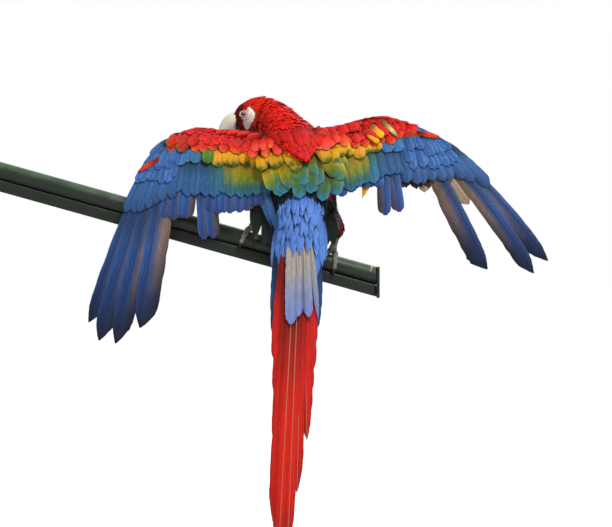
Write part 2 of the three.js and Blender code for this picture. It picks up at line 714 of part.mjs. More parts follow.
const base = new THREE.ExtrudeGeometry(plateOutline(STAND.baseX, STAND.baseY, STAND.corner), {
  depth: STAND.baseZ, bevelEnabled: false, curveSegments: 5,
});
base.translate(STAND.centreX, STAND.centreY, 0);
node("stand_base", closed(base), 0x2a2724, 0.5);

function post(radius, from, to, sides = 28) {
  const bar = new THREE.CylinderGeometry(radius, radius, to - from, sides);
  bar.applyMatrix4(new THREE.Matrix4().makeRotationX(Math.PI / 2));
  bar.translate(STAND.centreX, 0, (from + to) / 2);
  return closed(bar);
}
const socketTop = STAND.baseZ + GAP + SOCKET.height;
node("stand_socket", post(SOCKET.radius, STAND.baseZ + GAP, socketTop), 0x2a2724, 0.5);

// The rod reaches the underside of the rail and is cut to its slope.
const railUnder = byPerch(STAND.centreX, 0, railUp - PERCH.railHigh / 2 - GAP);
const rod = post(STAND.rodRadius, socketTop + GAP, railUnder.z + 20);
const under = perchUp.clone().negate();
node("stand_rod", rod.trimByPlane(under.toArray(), under.dot(railUnder)), 0x2a2724, 0.4, 0.6);

export default macaw;
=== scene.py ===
# %% [markdown]
# # A scarlet macaw on its rail
# A still, life-size display bird, seen from behind with its wings half spread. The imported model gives
# the frame: every piece below goes where its node says. Lengths are written in millimetres, as they
# would be measured on the bird, and turned into metres where they go into a mesh.

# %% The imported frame
from contextlib import contextmanager
from math import atan, ceil, copysign, cos, pi, radians, sin, sqrt, tan

import bmesh
import bpy
import numpy as np
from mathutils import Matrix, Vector
from mathutils.bvhtree import BVHTree
from mathutils.kdtree import KDTree


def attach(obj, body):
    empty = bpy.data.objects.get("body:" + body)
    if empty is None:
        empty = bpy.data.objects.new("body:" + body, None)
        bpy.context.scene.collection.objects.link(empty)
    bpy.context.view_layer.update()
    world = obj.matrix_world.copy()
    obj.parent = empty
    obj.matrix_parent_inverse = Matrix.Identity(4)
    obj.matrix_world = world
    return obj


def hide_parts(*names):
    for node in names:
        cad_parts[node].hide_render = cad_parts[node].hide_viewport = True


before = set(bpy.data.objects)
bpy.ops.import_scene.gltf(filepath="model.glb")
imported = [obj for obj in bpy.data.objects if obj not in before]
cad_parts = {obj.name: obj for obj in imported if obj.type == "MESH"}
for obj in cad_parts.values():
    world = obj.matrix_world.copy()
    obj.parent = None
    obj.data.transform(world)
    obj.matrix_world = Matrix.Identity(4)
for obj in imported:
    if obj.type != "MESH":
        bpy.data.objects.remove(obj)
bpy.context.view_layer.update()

MM = 0.001

# %% [markdown]
# ## Camera, light and floor
# A long lens from far off keeps the spread wings flat, as a portrait of a bird usually does. The
# studio is a wide white floor under an even white sky. One lamp above and to the right gives every
# feather a soft shadow under its edge, and two weaker ones, at the left and behind, lift the dark
# sides. A bowl of walls could do the same, but it would stand in the way when the bird is seen from
# its other sides.

# %% Camera
VIEW = {"distance": 6.0, "across": 0.9792, "x": 0.0096, "height": 0.4934}
camera = bpy.data.objects.new("camera", bpy.data.cameras.new("camera"))
bpy.context.scene.collection.objects.link(camera)
camera.location = (VIEW["x"], -VIEW["distance"], VIEW["height"])
camera.rotation_euler = (radians(90), 0, 0)
camera.data.sensor_width = 36
camera.data.lens = camera.data.sensor_width * VIEW["distance"] / VIEW["across"]
camera.data.clip_end = 200
bpy.context.scene.camera = camera
bpy.context.scene.view_settings.view_transform = "Standard"
print("lens", round(camera.data.lens, 1), "mm")


# %% Node helpers
def feed(tree, value, socket):
    """Joins another node's output to an input, or sets the input to a plain value."""
    if isinstance(value, bpy.types.NodeSocket):
        tree.links.new(value, socket)
    else:
        socket.default_value = value


def add_node(tree, kind, **settings):
    """One shader node. A setting names a property, or an input when it starts with in_."""
    made = tree.nodes.new(kind if kind.startswith("Node") else "ShaderNode" + kind)
    for key, value in settings.items():
        if key.startswith("in_"):
            name = key[3:].replace("_", " ")
            feed(tree, value, made.inputs[int(name) if name.isdigit() else name])
        else:
            setattr(made, key, value)
    return made


def reckon(tree, operation, *values):
    """A Math node, with numbers or sockets for its inputs."""
    made = add_node(tree, "Math", operation=operation)
    for socket, value in zip(made.inputs, values):
        feed(tree, value, socket)
    return made.outputs[0]


def noise(tree, place, scale, detail=2.0):
    return add_node(tree, "TexNoise", in_Vector=place, in_Scale=scale, in_Detail=detail).outputs[0]


def blend(tree, share, first, second):
    """A colour between two others, which are sockets or plain colours."""
    made = add_node(tree, "Mix", data_type="RGBA", in_0=share, in_A=first, in_B=second)
    return made.outputs["Result"]


def scaled(tree, colour, share):
    """A colour made darker or lighter by a share."""
    return add_node(tree, "VectorMath", operation="SCALE", in_0=colour, in_Scale=share).outputs[0]


def stored(tree, name, output="Fac"):
    """What the vertices carry under a name."""
    return add_node(tree, "Attribute", attribute_name=name).outputs[output]


def own_place(tree):
    """Places on the piece itself, in metres."""
    return add_node(tree, "TexCoord").outputs["Object"]


def ramp(tree, value, stops):
    """Colours along a value, from a list of places and colour codes."""
    made = add_node(tree, "ValToRGB", in_0=value)
    elements = made.color_ramp.elements
    while len(elements) < len(stops):
        elements.new(0.5)
    for element, (at, code) in zip(elements, stops):
        element.position = at
        element.color = paint(code)
    return made.outputs[0]


def set_relief(tree, shader, height, strength, depth):
    """A fine relief on a finish, its depth in millimetres."""
    bump = add_node(tree, "Bump", in_Strength=strength, in_Distance=depth * MM, in_Height=height)
    tree.links.new(bump.outputs[0], shader.inputs["Normal"])


def paint(code):
    """A colour as it is seen, such as c81810, as the linear values that a shader mixes."""
    seen = np.array([int(code[i:i + 2], 16) / 255 for i in (0, 2, 4)])
    linear = np.where(seen <= 0.04045, seen / 12.92, ((seen + 0.055) / 1.055) ** 2.4)
    return np.append(linear, 1.0)


def fade(codes):
    """Places and colours from root to tip, such as 7c0600 d81c06@50 f8340a, with places in percent."""
    words = [word.partition("@")[::2] for word in codes.split()]
    places = [0] + [int(at) / 100 for _, at in words[1:-1]] + [1]
    return [(at, code) for at, (code, _) in zip(places, words)]


def new_material(name, **constants):
    """A material with one Principled shader. Constants are set on the shader's own sockets."""
    material = bpy.data.materials.new(name)
    material.use_nodes = True
    shader = material.node_tree.nodes["Principled BSDF"]
    for key, value in constants.items():
        shader.inputs[key.replace("_", " ")].default_value = value
    return material, material.node_tree, shader


# %% Studio
def white_sky(strength):
    """A sky that the camera sees pure white, and that lights the bird with a strength of its own."""
    world = bpy.data.worlds.new("sky")
    bpy.context.scene.world = world
    world.use_nodes = True
    tree = world.node_tree
    tree.nodes.clear()
    lamp = add_node(tree, "Background", in_Color=(1, 1, 1, 1), in_Strength=strength)
    seen = add_node(tree, "Background", in_Color=(1, 1, 1, 1), in_Strength=1.0)
    by_camera = add_node(tree, "LightPath").outputs["Is Camera Ray"]
    both = add_node(tree, "MixShader", in_0=by_camera, in_1=lamp.outputs[0], in_2=seen.outputs[0])
    add_node(tree, "OutputWorld", in_0=both.outputs[0])


def soft_lamp(name, place, size, power, aim=(0, 0, 0.55)):
    lamp = bpy.data.objects.new(name, bpy.data.lights.new(name, "AREA"))
    bpy.context.scene.collection.objects.link(lamp)
    lamp.data.shape = "DISK"
    lamp.data.size = size
    lamp.data.energy = power
    lamp.location = place
    lamp.rotation_euler = (Vector(aim) - Vector(place)).to_track_quat("-Z", "Y").to_euler()


def white_floor(size):
    bpy.ops.object.select_all(action="DESELECT")
    bpy.ops.mesh.primitive_plane_add(size=size)
    floor = bpy.context.object
    floor.name = floor.data.name = "studio_floor"
    material, tree, shader = new_material("floor_paper", Roughness=0.9, Base_Color=(0.9, 0.9, 0.9, 1),
                                          Emission_Color=(1, 1, 1, 1))
    by_camera = add_node(tree, "LightPath").outputs["Is Camera Ray"]
    feed(tree, reckon(tree, "MULTIPLY", by_camera, 0.7), shader.inputs["Emission Strength"])
    floor.data.materials.append(material)


white_sky(0.4)
soft_lamp("lamp_above", (1.0, -2.0, 3.1), size=0.6, power=88)
soft_lamp("lamp_left", (-2.6, -2.4, 1.6), size=1.6, power=9)
soft_lamp("lamp_behind", (0.6, 2.6, 2.4), size=1.2, power=18)
white_floor(80)
print("sky, floor and", len(bpy.data.lights), "lamps")

# %% [markdown]
# ## Measures of the bird
# The stations below are the bird's main sizes, the same that its solids are cut to: a row of cross
# sections up the trunk, along the skull and along the bill, the places of eyes, hips and feet, and
# the sizes of perch and stand. A sculptor would bend a wire through such points first. Here the wire
# is a smooth curve, and every form is hung on it.

# %% Driving dimensions
TRUNK = [
    (-4, -73, 522, 20, 13), (-3, -60, 542, 36, 27), (-1, -41, 576, 47, 42), (0, -22, 618, 52, 52),
    (-2, -4, 658, 54, 54), (-15, 9, 686, 49, 48), (-28, 21, 708, 37, 37.5), (-46, 32, 724, 34.5, 36.5),
    (-55, 41, 728, 26, 27),
]
HEAD = {"centre": (-69.5, 45, 731.5), "yaw": 77, "pitch": -15}
EYE = {"forward": 15, "side": 24.5, "up": 6, "radius": 5.4}
SKULL = [
    (-37, -2, 5, 6), (-31, -1, 18, 19), (-18, 0, 26, 28), (-2, 0, 28, 31), (13, -1, 26, 29),
    (24, -3, 21, 25), (31, -5, 16, 20),
]
UPPER_BILL = [
    (27, -2, 13, 16), (38, 0, 13.5, 16.5), (51, -5, 11.5, 14), (61, -17, 8.5, 10),
    (63, -32, 5.2, 6), (58, -45, 1.3, 1.6),
]
LOWER_BILL = [(20, -24, 11, 9), (31, -28, 11.5, 9), (41, -31, 9.5, 7), (48, -29, 5.5, 3.5)]
FEET = {"left": -78, "right": 50, "heel_back": 24, "heel_up": 30}
HIP = {"side": 30, "front": 2, "height": 606}
PERCH = {"slope": -0.279, "top": 522.4, "radius": 14, "left": -486, "right": 122}
RAIL = {"deep": 15, "high": 18}
END_PLATE = {"thick": 5, "deep": 30, "high": 50}
STAND = {"x": 340, "y": 290, "z": 18, "corner": 34, "centre_x": -26, "centre_y": -20, "rod": 8}
SOCKET = {"radius": 19, "height": 26}
GAP = 0.3
COAT = {"trunk": 5.0, "skull": 2.6, "thigh": 4.0, "bare": 0.6}


# %% Sums that shapes are built on
def mix(a, b, t):
    return a + (b - a) * t


def smooth(start, end, value):
    t = np.clip((value - start) / (end - start), 0, 1)
    return t * t * (3 - 2 * t)


def unit(vectors):
    return vectors / np.maximum(np.linalg.norm(vectors, axis=-1, keepdims=True), 1e-9)


def curve(points, places):
    """Points at places from 0 to 1 on a smooth curve through the given ones."""
    given = np.asarray(points, float)
    whole = np.vstack([2 * given[0] - given[1], given, 2 * given[-1] - given[-2]])
    found = []
    for place in np.atleast_1d(places):
        along = float(np.clip(place, 0, 1)) * (len(given) - 1)
        k = min(int(along), len(given) - 2)
        w = along - k
        a, b, c, d = whole[k:k + 4]
        ab, bc, cd = (max(np.linalg.norm(q - p) ** 0.5, 1e-4) for p, q in ((a, b), (b, c), (c, d)))
        leave = ((b - a) / ab - (c - a) / (ab + bc) + (c - b) / bc) * bc
        reach = ((c - b) / bc - (d - b) / (bc + cd) + (d - c) / cd) * bc
        bend = -3 * b + 3 * c - 2 * leave - reach
        twist = 2 * b - 2 * c + leave + reach
        found.append(b + leave * w + bend * w * w + twist * w ** 3)
    return np.array(found)


def rings_along(stations, count, sides, across=(1, 0, 0), grow=0.0):
    """Rings of points round a bent form, for stations of x, y, z, half width and half depth."""
    stations = np.asarray(stations, float)
    places = np.linspace(0, 1, count)
    line = curve(stations[:, :3], places)
    size = curve(stations[:, 3:5], places) + grow
    tangent = unit(curve(stations[:, :3], places + 1e-4) - curve(stations[:, :3], places - 1e-4))
    tangent[0] = unit(line[1] - line[0])
    tangent[-1] = unit(line[-1] - line[-2])
    side = unit(across - tangent * (tangent @ across)[:, None])
    other = np.cross(tangent, side)
    turn = np.linspace(0, 2 * pi, sides, endpoint=False)
    return (
        line[:, None]
        + side[:, None] * (size[:, :1] * np.cos(turn))[:, :, None]
        + other[:, None] * (size[:, 1:] * np.sin(turn))[:, :, None]
    )


yaw, pitch = radians(HEAD["yaw"]), radians(HEAD["pitch"])
about_z = np.array([[cos(yaw), -sin(yaw), 0], [sin(yaw), cos(yaw), 0], [0, 0, 1]])
about_x = np.array([
    [1, 0, 0], [0, cos(pitch), -sin(pitch)], [0, sin(pitch), cos(pitch)],
])
HEAD_TURN = about_z @ about_x
HEAD_SIDE = HEAD_TURN @ (-1, 0, 0)
HEAD_FORWARD = HEAD_TURN @ (0, 1, 0)


def on_head(forward, left, up):
    """A place on the head, measured forward, to the bird's left and up from the skull's middle."""
    return np.array(HEAD["centre"]) + HEAD_TURN @ (-left, forward, up)


def head_measures(points):
    """The other way round: forward, left and up of points in the frame."""
    own = (np.asarray(points) - HEAD["centre"]) @ HEAD_TURN
    return own[..., 1], -own[..., 0], own[..., 2]


def head_stations(stations):
    return [(*on_head(forward, 0, up), wide, high) for forward, up, wide, high in stations]


print("bill tip at", on_head(58, 0, -45).round(1))

# %% [markdown]
# ## Hand work shared by the pieces
# Round forms are made the way one would by hand: a circle is extruded once for each cross section and
# every new ring is set to its size and place. A stretched sphere would need far more pushing, and a
# lofted curve would leave its ends open.


# %% Making and finishing pieces
def nothing_selected():
    if bpy.context.object and bpy.context.object.mode != "OBJECT":
        bpy.ops.object.mode_set(mode="OBJECT")
    bpy.ops.object.select_all(action="DESELECT")


def only(piece):
    nothing_selected()
    piece.select_set(True)
    bpy.context.view_layer.objects.active = piece


@contextmanager
def opened(piece, action="SELECT"):
    """Opens a piece in edit mode for a few steps, with all of its mesh selected or none."""
    only(piece)
    bpy.ops.object.mode_set(mode="EDIT")
    bpy.ops.mesh.select_all(action=action)
    yield
    bpy.ops.object.mode_set(mode="OBJECT")


def added(name, primitive, **settings):
    """Adds a primitive at its size and place, and names it."""
    nothing_selected()
    primitive(**settings)
    piece = bpy.context.object
    piece.name = piece.data.name = name
    bpy.ops.object.transform_apply(location=True, rotation=True, scale=True)
    return piece


def block(name, size, middle, turn=0.0):
    """A rectangular block, from its size and the place of its middle in millimetres."""
    return added(name, bpy.ops.mesh.primitive_cube_add, size=1, location=np.array(middle) * MM,
                 rotation=(0, turn, 0), scale=np.array(size) * MM)


def apply_modifier(piece, kind, **settings):
    only(piece)
    modifier = piece.modifiers.new(kind.lower(), kind)
    for key, value in settings.items():
        setattr(modifier, key, value)
    bpy.ops.object.modifier_apply(modifier=modifier.name)


def break_edges(piece, width, segments, angle=60):
    """Takes the sharpness off a piece's edges, over a width in millimetres."""
    apply_modifier(piece, "BEVEL", width=width * MM, segments=segments, limit_method="ANGLE",
                   angle_limit=radians(angle))


def extruded(name, rings):
    """A closed form through rings of points, extruded ring by ring."""
    piece = added(name, bpy.ops.mesh.primitive_circle_add, vertices=len(rings[0]), radius=1,
                  fill_type="NGON")
    last = rings[0] * MM
    for vertex, place in zip(piece.data.vertices, last):
        vertex.co = place
    with opened(piece):
        for ring in rings[1:]:
            bpy.ops.mesh.extrude_region_move()
            mesh = bmesh.from_edit_mesh(piece.data)
            for vertex in (v for v in mesh.verts if v.select):
                nearest = np.argmin(((last - vertex.co) ** 2).sum(1))
                vertex.co = ring[nearest] * MM
            last = ring * MM
        bpy.ops.mesh.select_all(action="SELECT")
        bpy.ops.mesh.normals_make_consistent(inside=False)
    return piece


def limb(name, stations, count, sides, across=(1, 0, 0), grow=0.0):
    return extruded(name, rings_along(stations, count, sides, across, grow))


def joined(name, pieces):
    nothing_selected()
    for piece in pieces:
        piece.select_set(True)
    bpy.context.view_layer.objects.active = pieces[0]
    bpy.ops.object.join()
    whole = bpy.context.object
    whole.name = whole.data.name = name
    return whole


def remesh(piece, voxel):
    apply_modifier(piece, "REMESH", mode="VOXEL", voxel_size=voxel * MM, use_smooth_shade=True)


def soften(piece, factor, repeats):
    apply_modifier(piece, "SMOOTH", factor=factor, iterations=repeats)


def gathered(items, name, width, kind=np.float32):
    """One property of all items of a mesh, a row for each."""
    values = np.zeros(len(items) * width, kind)
    items.foreach_get(name, values)
    return values.reshape(-1, width)


def coordinates(piece):
    return gathered(piece.data.vertices, "co", 3).astype(float) / MM


def move_vertices(piece, points):
    piece.data.vertices.foreach_set("co", (np.asarray(points) * MM).astype(np.float32).ravel())
    piece.data.update()


def colour_vertices(piece, colours):
    """Gives every vertex a colour, or all of them one."""
    each = np.broadcast_to(colours, (len(piece.data.vertices), 4)).astype(np.float32)
    layer = piece.data.color_attributes.new("tint", "FLOAT_COLOR", "POINT")
    layer.data.foreach_set("color", each.ravel())


def mark_vertices(piece, name, values):
    """Gives every vertex a number, which a finish reads by its name."""
    layer = piece.data.attributes.new(name, "FLOAT", "POINT")
    layer.data.foreach_set("value", np.asarray(values, np.float32))


def finish_piece(piece, material, replaced=(), angle=35):
    """Sets a piece's finish, lets it ride on the model and hides the nodes it stands for."""
    only(piece)
    bpy.ops.object.shade_smooth_by_angle(angle=radians(angle))
    piece.data.materials.clear()
    piece.data.materials.append(material)
    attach(piece, "root")
    if replaced:
        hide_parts(*replaced)
    print(piece.name, len(piece.data.loop_triangles) or len(piece.data.polygons), "faces")


# %% [markdown]
# ## The sheets that feathers lie on
# The back and the spread wings are thought of as one sheet, given by its depth at each place across
# and up. A row of feathers lies over it like roof tiles: each feather's height rises a little from
# one slot of the row to the next, so neighbours overlap instead of cutting through one another.

# %% Back and wings as sheets
BACK_LINE = [(500, -86), (560, -84), (590, -81), (620, -76), (650, -67), (680, -55), (695, -45), (725, -22)]
WING_LINE = [(360, -78), (450, -66), (560, -48), (620, -36), (680, -20), (720, -10), (740, -6)]
BACK = {"round": 80, "edge": 46}
STEP = 1.3
TAIL = {"top": 531, "root_y": -76, "tilt": 9}
SHOULDER = {"clear": 1.5, "rise": 13, "start": 30, "end": 58}
WINGS = {
    "left": {
        "way": -1,
        "lead": [(-42, 697), (-91, 702), (-136, 711), (-168, 713), (-197, 702), (-221, 683), (-243, 656)],
        "trail": [(-42, 655), (-91, 650), (-136, 649), (-168, 648), (-192, 645), (-212, 640), (-234, 630)],
    },
    "right": {
        "way": 1,
        "lead": [(42, 703), (66, 717), (104, 728), (133, 732), (157, 726), (190, 714), (226, 696)],
        "trail": [(42, 662), (66, 664), (104, 669), (133, 672), (157, 673), (184, 671), (214, 667)],
    },
}


def along(table, places):
    return np.interp(places, [a for a, _ in table], [b for _, b in table])


def back_y(x, z):
    fall = np.minimum(np.abs(x), BACK["edge"]) ** 2 / BACK["round"]
    return mix(along(BACK_LINE, z) + fall, along(WING_LINE, z), smooth(40, 100, np.abs(x)))


def shoulder_y(x, z):
    rise = SHOULDER["rise"] * smooth(SHOULDER["start"], SHOULDER["end"], np.abs(x))
    return back_y(x, z) - SHOULDER["clear"] - rise


def tail_y(x, z):
    return TAIL["root_y"] + (z - TAIL["top"]) * tan(radians(TAIL["tilt"])) + 0.004 * x * x


# %% [markdown]
# ## The skin
# Under its feathers a bird is one smooth body. Trunk, skull, thighs and the arms of the wings are
# roughed out apart, pressed into one lump and smoothed, so that no seam is left between them. Joining
# them by a Boolean would keep hard creases in the armpits and at the neck.

# %% Rough forms
ARM_SECTION = [
    (0, -5), (0.03, 4), (0.12, 10), (0.3, 12), (0.5, 10), (0.72, 6.5), (0.92, 3.5), (1, 0.5),
    (0.95, -3), (0.7, -9), (0.4, -14), (0.12, -13),
]


def perch_top(x):
    return PERCH["top"] + PERCH["slope"] * x


perch_turn = atan(PERCH["slope"])
PERCH_ALONG = np.array([cos(perch_turn), 0, sin(perch_turn)])
PERCH_UP = np.array([-sin(perch_turn), 0, cos(perch_turn)])


def by_perch(x, back, up):
    """A place near the rail: x, then depth and height from the line of its top."""
    return np.array([x, back, perch_top(x)]) + PERCH_UP * up


def wing_arm(name, wing, shrink):
    """The arm under the coverts, as sections from its leading edge to the roots of the quills."""
    rings = []
    for place in np.linspace(0, 1, 16):
        lead = curve(wing["lead"], place)[0]
        trail = curve(wing["trail"], place)[0]
        full = mix(0.35, 1, smooth(0, 0.25, place)) * mix(1, 0.45, smooth(0.6, 1, place)) * shrink
        ring = []
        for share, height in ARM_SECTION:
            x, z = mix(lead, trail, mix(share, 0.5, 0.06))
            ring.append((x, back_y(x, z) - height * full, z))
        rings.append(ring)
    return extruded(name, np.array(rings))


def thigh(name, way):
    x = FEET[name]
    heel = by_perch(x, -FEET["heel_back"], FEET["heel_up"])
    shank = unit(by_perch(x, -1, 5) - heel)
    hip = (way * HIP["side"], HIP["front"], HIP["height"])
    knee = (mix(hip[0], x, 0.62), 10, mix(hip[2], heel[2], 0.5))
    stations = [(*hip, 30, 33), (*knee, 21.5, 26), (*(heel - 14 * shank), 13.5, 14), (*heel, 9, 9)]
    return limb(f"thigh_form_{name}", stations, count=14, sides=20, grow=-COAT["thigh"]), heel


FORMS = {
    "trunk": limb("trunk_form", TRUNK, count=26, sides=32, grow=-COAT["trunk"]),
    "skull": limb("skull_form", head_stations(SKULL), count=22, sides=28, across=HEAD_SIDE,
                  grow=-COAT["skull"]),
    "arm_left": wing_arm("arm_form_left", WINGS["left"], shrink=0.62),
    "arm_right": wing_arm("arm_form_right", WINGS["right"], shrink=0.62),
}
HEELS = {}
for name, way in (("left", -1), ("right", 1)):
    FORMS["thigh_" + name], HEELS[name] = thigh(name, way)


def surface_of(piece):
    """A piece's surface, to measure from, in millimetres."""
    points = coordinates(piece)
    return BVHTree.FromPolygons(points.tolist(), [tuple(p.vertices) for p in piece.data.polygons])


def drop_specks(piece, fewest=100):
    """Deletes the tiny closed specks that a remesh leaves in the creases between forms."""
    mesh = bmesh.new()
    mesh.from_mesh(piece.data)
    seen, specks = set(), []
    for start in mesh.verts:
        if start in seen:
            continue
        island, front = {start}, [start]
        while front:
            here = front.pop()
            around = {edge.other_vert(here) for edge in here.link_edges} - island
            island |= around
            front.extend(around)
        seen |= island
        if len(island) < fewest:
            specks.extend(island)
    bmesh.ops.delete(mesh, geom=specks, context="VERTS")
    mesh.to_mesh(piece.data)
    mesh.free()
    return len(specks)


FORM_SURFACE = {name: surface_of(piece) for name, piece in FORMS.items()}
skin = joined("skin", list(FORMS.values()))
remesh(skin, voxel=1.9)
soften(skin, factor=0.6, repeats=7)
speck_points = drop_specks(skin)
print("skin vertices", len(skin.data.vertices), "after dropping", speck_points)

# %% [markdown]
# ## The bare face
# A scarlet macaw's cheek is bare, from the root of the bill to behind the eye, and stands level with
# the feathers round it. The eye sits in a shallow socket inside a raised ring. These forms are only a
# few millimetres high or deep, so they are pushed in and out of the skin along its normals.

# %% Face patch and sockets
FACE = [
    (21, 5.5), (17, 11), (11, 14.5), (4, 16), (-1, 9), (-3.4, 1.5), (0, -7), (8, -14), (14, -19),
    (19, -21), (23, -15), (22, -3),
]
SOCKET_RING = {"high": 1.5, "radius": 8.4, "wide": 2.2, "deep": 2.6}


def face_depth(forward, up):
    """How far a place on the cheek is inside the bare patch, in millimetres; outside counts negative."""
    edge = curve(FACE + FACE[:1], np.linspace(0, 1, 60))
    places = np.stack([forward, up], -1)
    nearest = np.full(len(places), 1e9)
    inside = np.zeros(len(places), bool)
    for a, b in zip(edge[:-1], edge[1:]):
        run = b - a
        share = np.clip((places - a) @ run / max(run @ run, 1e-9), 0, 1)
        nearest = np.minimum(nearest, np.linalg.norm(places - a - share[:, None] * run, axis=1))
        crosses = (a[1] > places[:, 1]) != (b[1] > places[:, 1])
        at = a[0] + (places[:, 1] - a[1]) * run[0] / (run[1] if abs(run[1]) > 1e-9 else 1e-9)
        inside ^= crosses & (places[:, 0] < at)
    return np.where(inside, nearest, -nearest)


def bareness(points):
    """1 on the bare cheeks and 0 on the feathered skin."""
    forward, left, up = head_measures(points)
    return smooth(-1, 2, face_depth(forward, up)) * (np.abs(left) > 7) * (np.abs(forward) < 60)


def normals_of(piece):
    return gathered(piece.data.vertices, "normal", 3).astype(float)


def shape_face():
    """Lifts the bare cheek level with the coat, and presses in the eye's socket inside its ring."""
    points = coordinates(skin)
    forward, left, up = head_measures(points)
    bare = bareness(points)
    from_eye = np.hypot(forward - EYE["forward"], (up - EYE["up"]) * 1.1)
    round_eye = (np.abs(left) > 12) * (from_eye < 16)
    ring = SOCKET_RING["high"] * np.exp(-((from_eye - SOCKET_RING["radius"]) / SOCKET_RING["wide"]) ** 2)
    socket = -SOCKET_RING["deep"] * smooth(7.0, 4.5, from_eye)
    folds = 0.28 * np.sin(from_eye * 1.7) * smooth(9, 12, from_eye) * smooth(26, 16, from_eye)
    rise = bare * (COAT["skull"] - COAT["bare"]) + round_eye * (ring + socket) + folds * bare
    near = np.linalg.norm(points - HEAD["centre"], axis=1) < 50
    move_vertices(skin, points + normals_of(skin) * (rise * near)[:, None])


shape_face()

# %% [markdown]
# ## A map of the skin
# A bird's coat follows its skin, so every small feather takes its place on the bake map from the skin
# under its root. The map is unfolded by the angles of the surface, since seams cut by hand would be
# hidden under the coat anyway.

# %% Skin unwrap
skin.data.uv_layers.new(name="OFBake")
with opened(skin):
    bpy.ops.uv.smart_project(angle_limit=radians(66), island_margin=0.004)


class Ground:
    """The skin as something to lay feathers on: nearest points, normals and its unwrap."""

    def __init__(self, piece):
        mesh = piece.data
        mesh.calc_loop_triangles()
        self.points = coordinates(piece)
        self.normals = normals_of(piece)
        self.faces = gathered(mesh.loop_triangles, "vertices", 3, np.int32)
        loops = gathered(mesh.loop_triangles, "loops", 3, np.int32)
        self.unwrap = gathered(mesh.uv_layers["OFBake"].data, "uv", 2)[loops]
        self.tree = BVHTree.FromPolygons(self.points.tolist(), self.faces.tolist())

    def nearest(self, points):
        """Points, normals and triangles of the skin nearest to the given points."""
        found = [self.tree.find_nearest(p) for p in np.asarray(points, float).tolist()]
        places = np.array([f[0] for f in found])
        index = np.array([f[2] for f in found])
        corners = self.points[self.faces[index]]
        weights = 1 / (np.linalg.norm(corners - places[:, None], axis=2) + 0.05)
        weights /= weights.sum(1, keepdims=True)
        normals = unit((self.normals[self.faces[index]] * weights[:, :, None]).sum(1))
        return places, normals, index

    def unwrap_at(self, index):
        return self.unwrap[index].mean(1)


ground = Ground(skin)
print("skin triangles", len(ground.faces))

# %% [markdown]
# ## One feather, modelled once
# A contour feather is a thin vane, broad in the middle and rounded at its tip, a little ragged where
# its barbs part. It is modelled once on a grid with a wall thickness, in shares: across its web,
# along its length and through its thickness. Laying a feather then means bending that one shape to
# its place. Particle hair would be quicker, but a feather has to be a solid piece of the model.

# %% Model vanes
TIPS = {
    "body": [(0, 0.34), (0.3, 0.86), (0.6, 1.0), (0.85, 0.78), (1, 0.3)],
    "round": [(0, 0.42), (0.3, 0.92), (0.7, 1), (0.88, 0.92), (0.96, 0.74), (1, 0.42)],
    "broad": [(0, 0.45), (0.35, 0.94), (0.68, 1), (0.86, 0.9), (0.96, 0.68), (1, 0.34)],
    "long": [(0, 0.3), (0.16, 0.72), (0.45, 1), (0.82, 1), (0.93, 0.9), (0.98, 0.68), (1, 0.34)],
    "square": [(0, 0.5), (0.2, 0.9), (0.6, 1), (0.9, 0.97), (0.975, 0.86), (1, 0.66)],
    "thin": [(0, 0.5), (0.3, 1), (0.7, 0.7), (0.9, 0.38), (1, 0.12)],
    "pointed": [(0, 0.4), (0.35, 1), (0.65, 0.9), (0.86, 0.55), (1, 0.14)],
}


def fold_rim(quads, half):
    """The points whose bake map each face's corners use: a rim uses only those of the upper side."""
    upper = quads < half
    mixed = upper.any(1) & ~upper.all(1)
    return np.where(mixed[:, None], quads % half, quads)


class Model:
    """A model shape: its points in shares of web, length and thickness, and its faces."""

    def keep(self, piece):
        shape = coordinates(piece) * MM
        self.across, self.along, self.through = shape[:, 0], shape[:, 1], shape[:, 2]
        self.quads = np.array([tuple(p.vertices) for p in piece.data.polygons])
        self.half = len(shape) // 2
        bpy.data.objects.remove(piece)


class Vane(Model):
    """One model feather, cut from a grid and given a thickness."""

    def __init__(self, name, columns, rows, outline, ragged=0.0):
        piece = added(name, bpy.ops.mesh.primitive_grid_add, x_subdivisions=columns,
                      y_subdivisions=rows, size=2)
        points = coordinates(piece) * MM
        length = 1 - (1 - (points[:, 1] + 1) / 2) ** 1.5
        wide = curve(TIPS[outline], np.linspace(0, 1, 60))
        width = np.interp(length, wide[:, 0], wide[:, 1])
        tooth = ragged * (np.round((points[:, 0] + 1) * columns / 2) % 2) * smooth(0.75, 1, length)
        round_end = 0.05 * smooth(0.8, 1, length) * points[:, 0] ** 2
        forth = length - tooth - round_end
        for vertex, u, v in zip(piece.data.vertices, points[:, 0] * width, forth):
            vertex.co = (u, v, 0)
        apply_modifier(piece, "SOLIDIFY", thickness=1, offset=0)
        self.keep(piece)
        self.corners = fold_rim(self.quads, self.half)
        print(name, "vane:", len(self.along), "points,", len(self.quads), "faces")


class Shaft(Model):
    """The quill of a big feather: a thin round rod that tapers to the tip."""

    def __init__(self, rings, sides=5):
        places = np.linspace(0, 1, rings)
        circle = np.linspace(0, 2 * pi, sides, endpoint=False)
        taper = mix(1, 0.22, places)[:, None]
        forth = np.repeat(places[:, None] * 0.97, sides, 1)
        form = np.stack([taper * np.cos(circle), forth, taper * np.sin(circle)], -1)
        piece = extruded("shaft_model", form / MM)
        with opened(piece):
            bpy.ops.mesh.quads_convert_to_tris()
        self.keep(piece)
        self.corners = self.quads


# grid columns and rows, and the outline of the tip
SMALL_VANE = Vane("small", 4, 4, "body", ragged=0.05)
TUFT_VANE = Vane("tuft", 2, 3, "thin")
HAIR_VANE = Vane("hair", 4, 5, "thin", ragged=0.05)
SHAFT = Shaft(14)


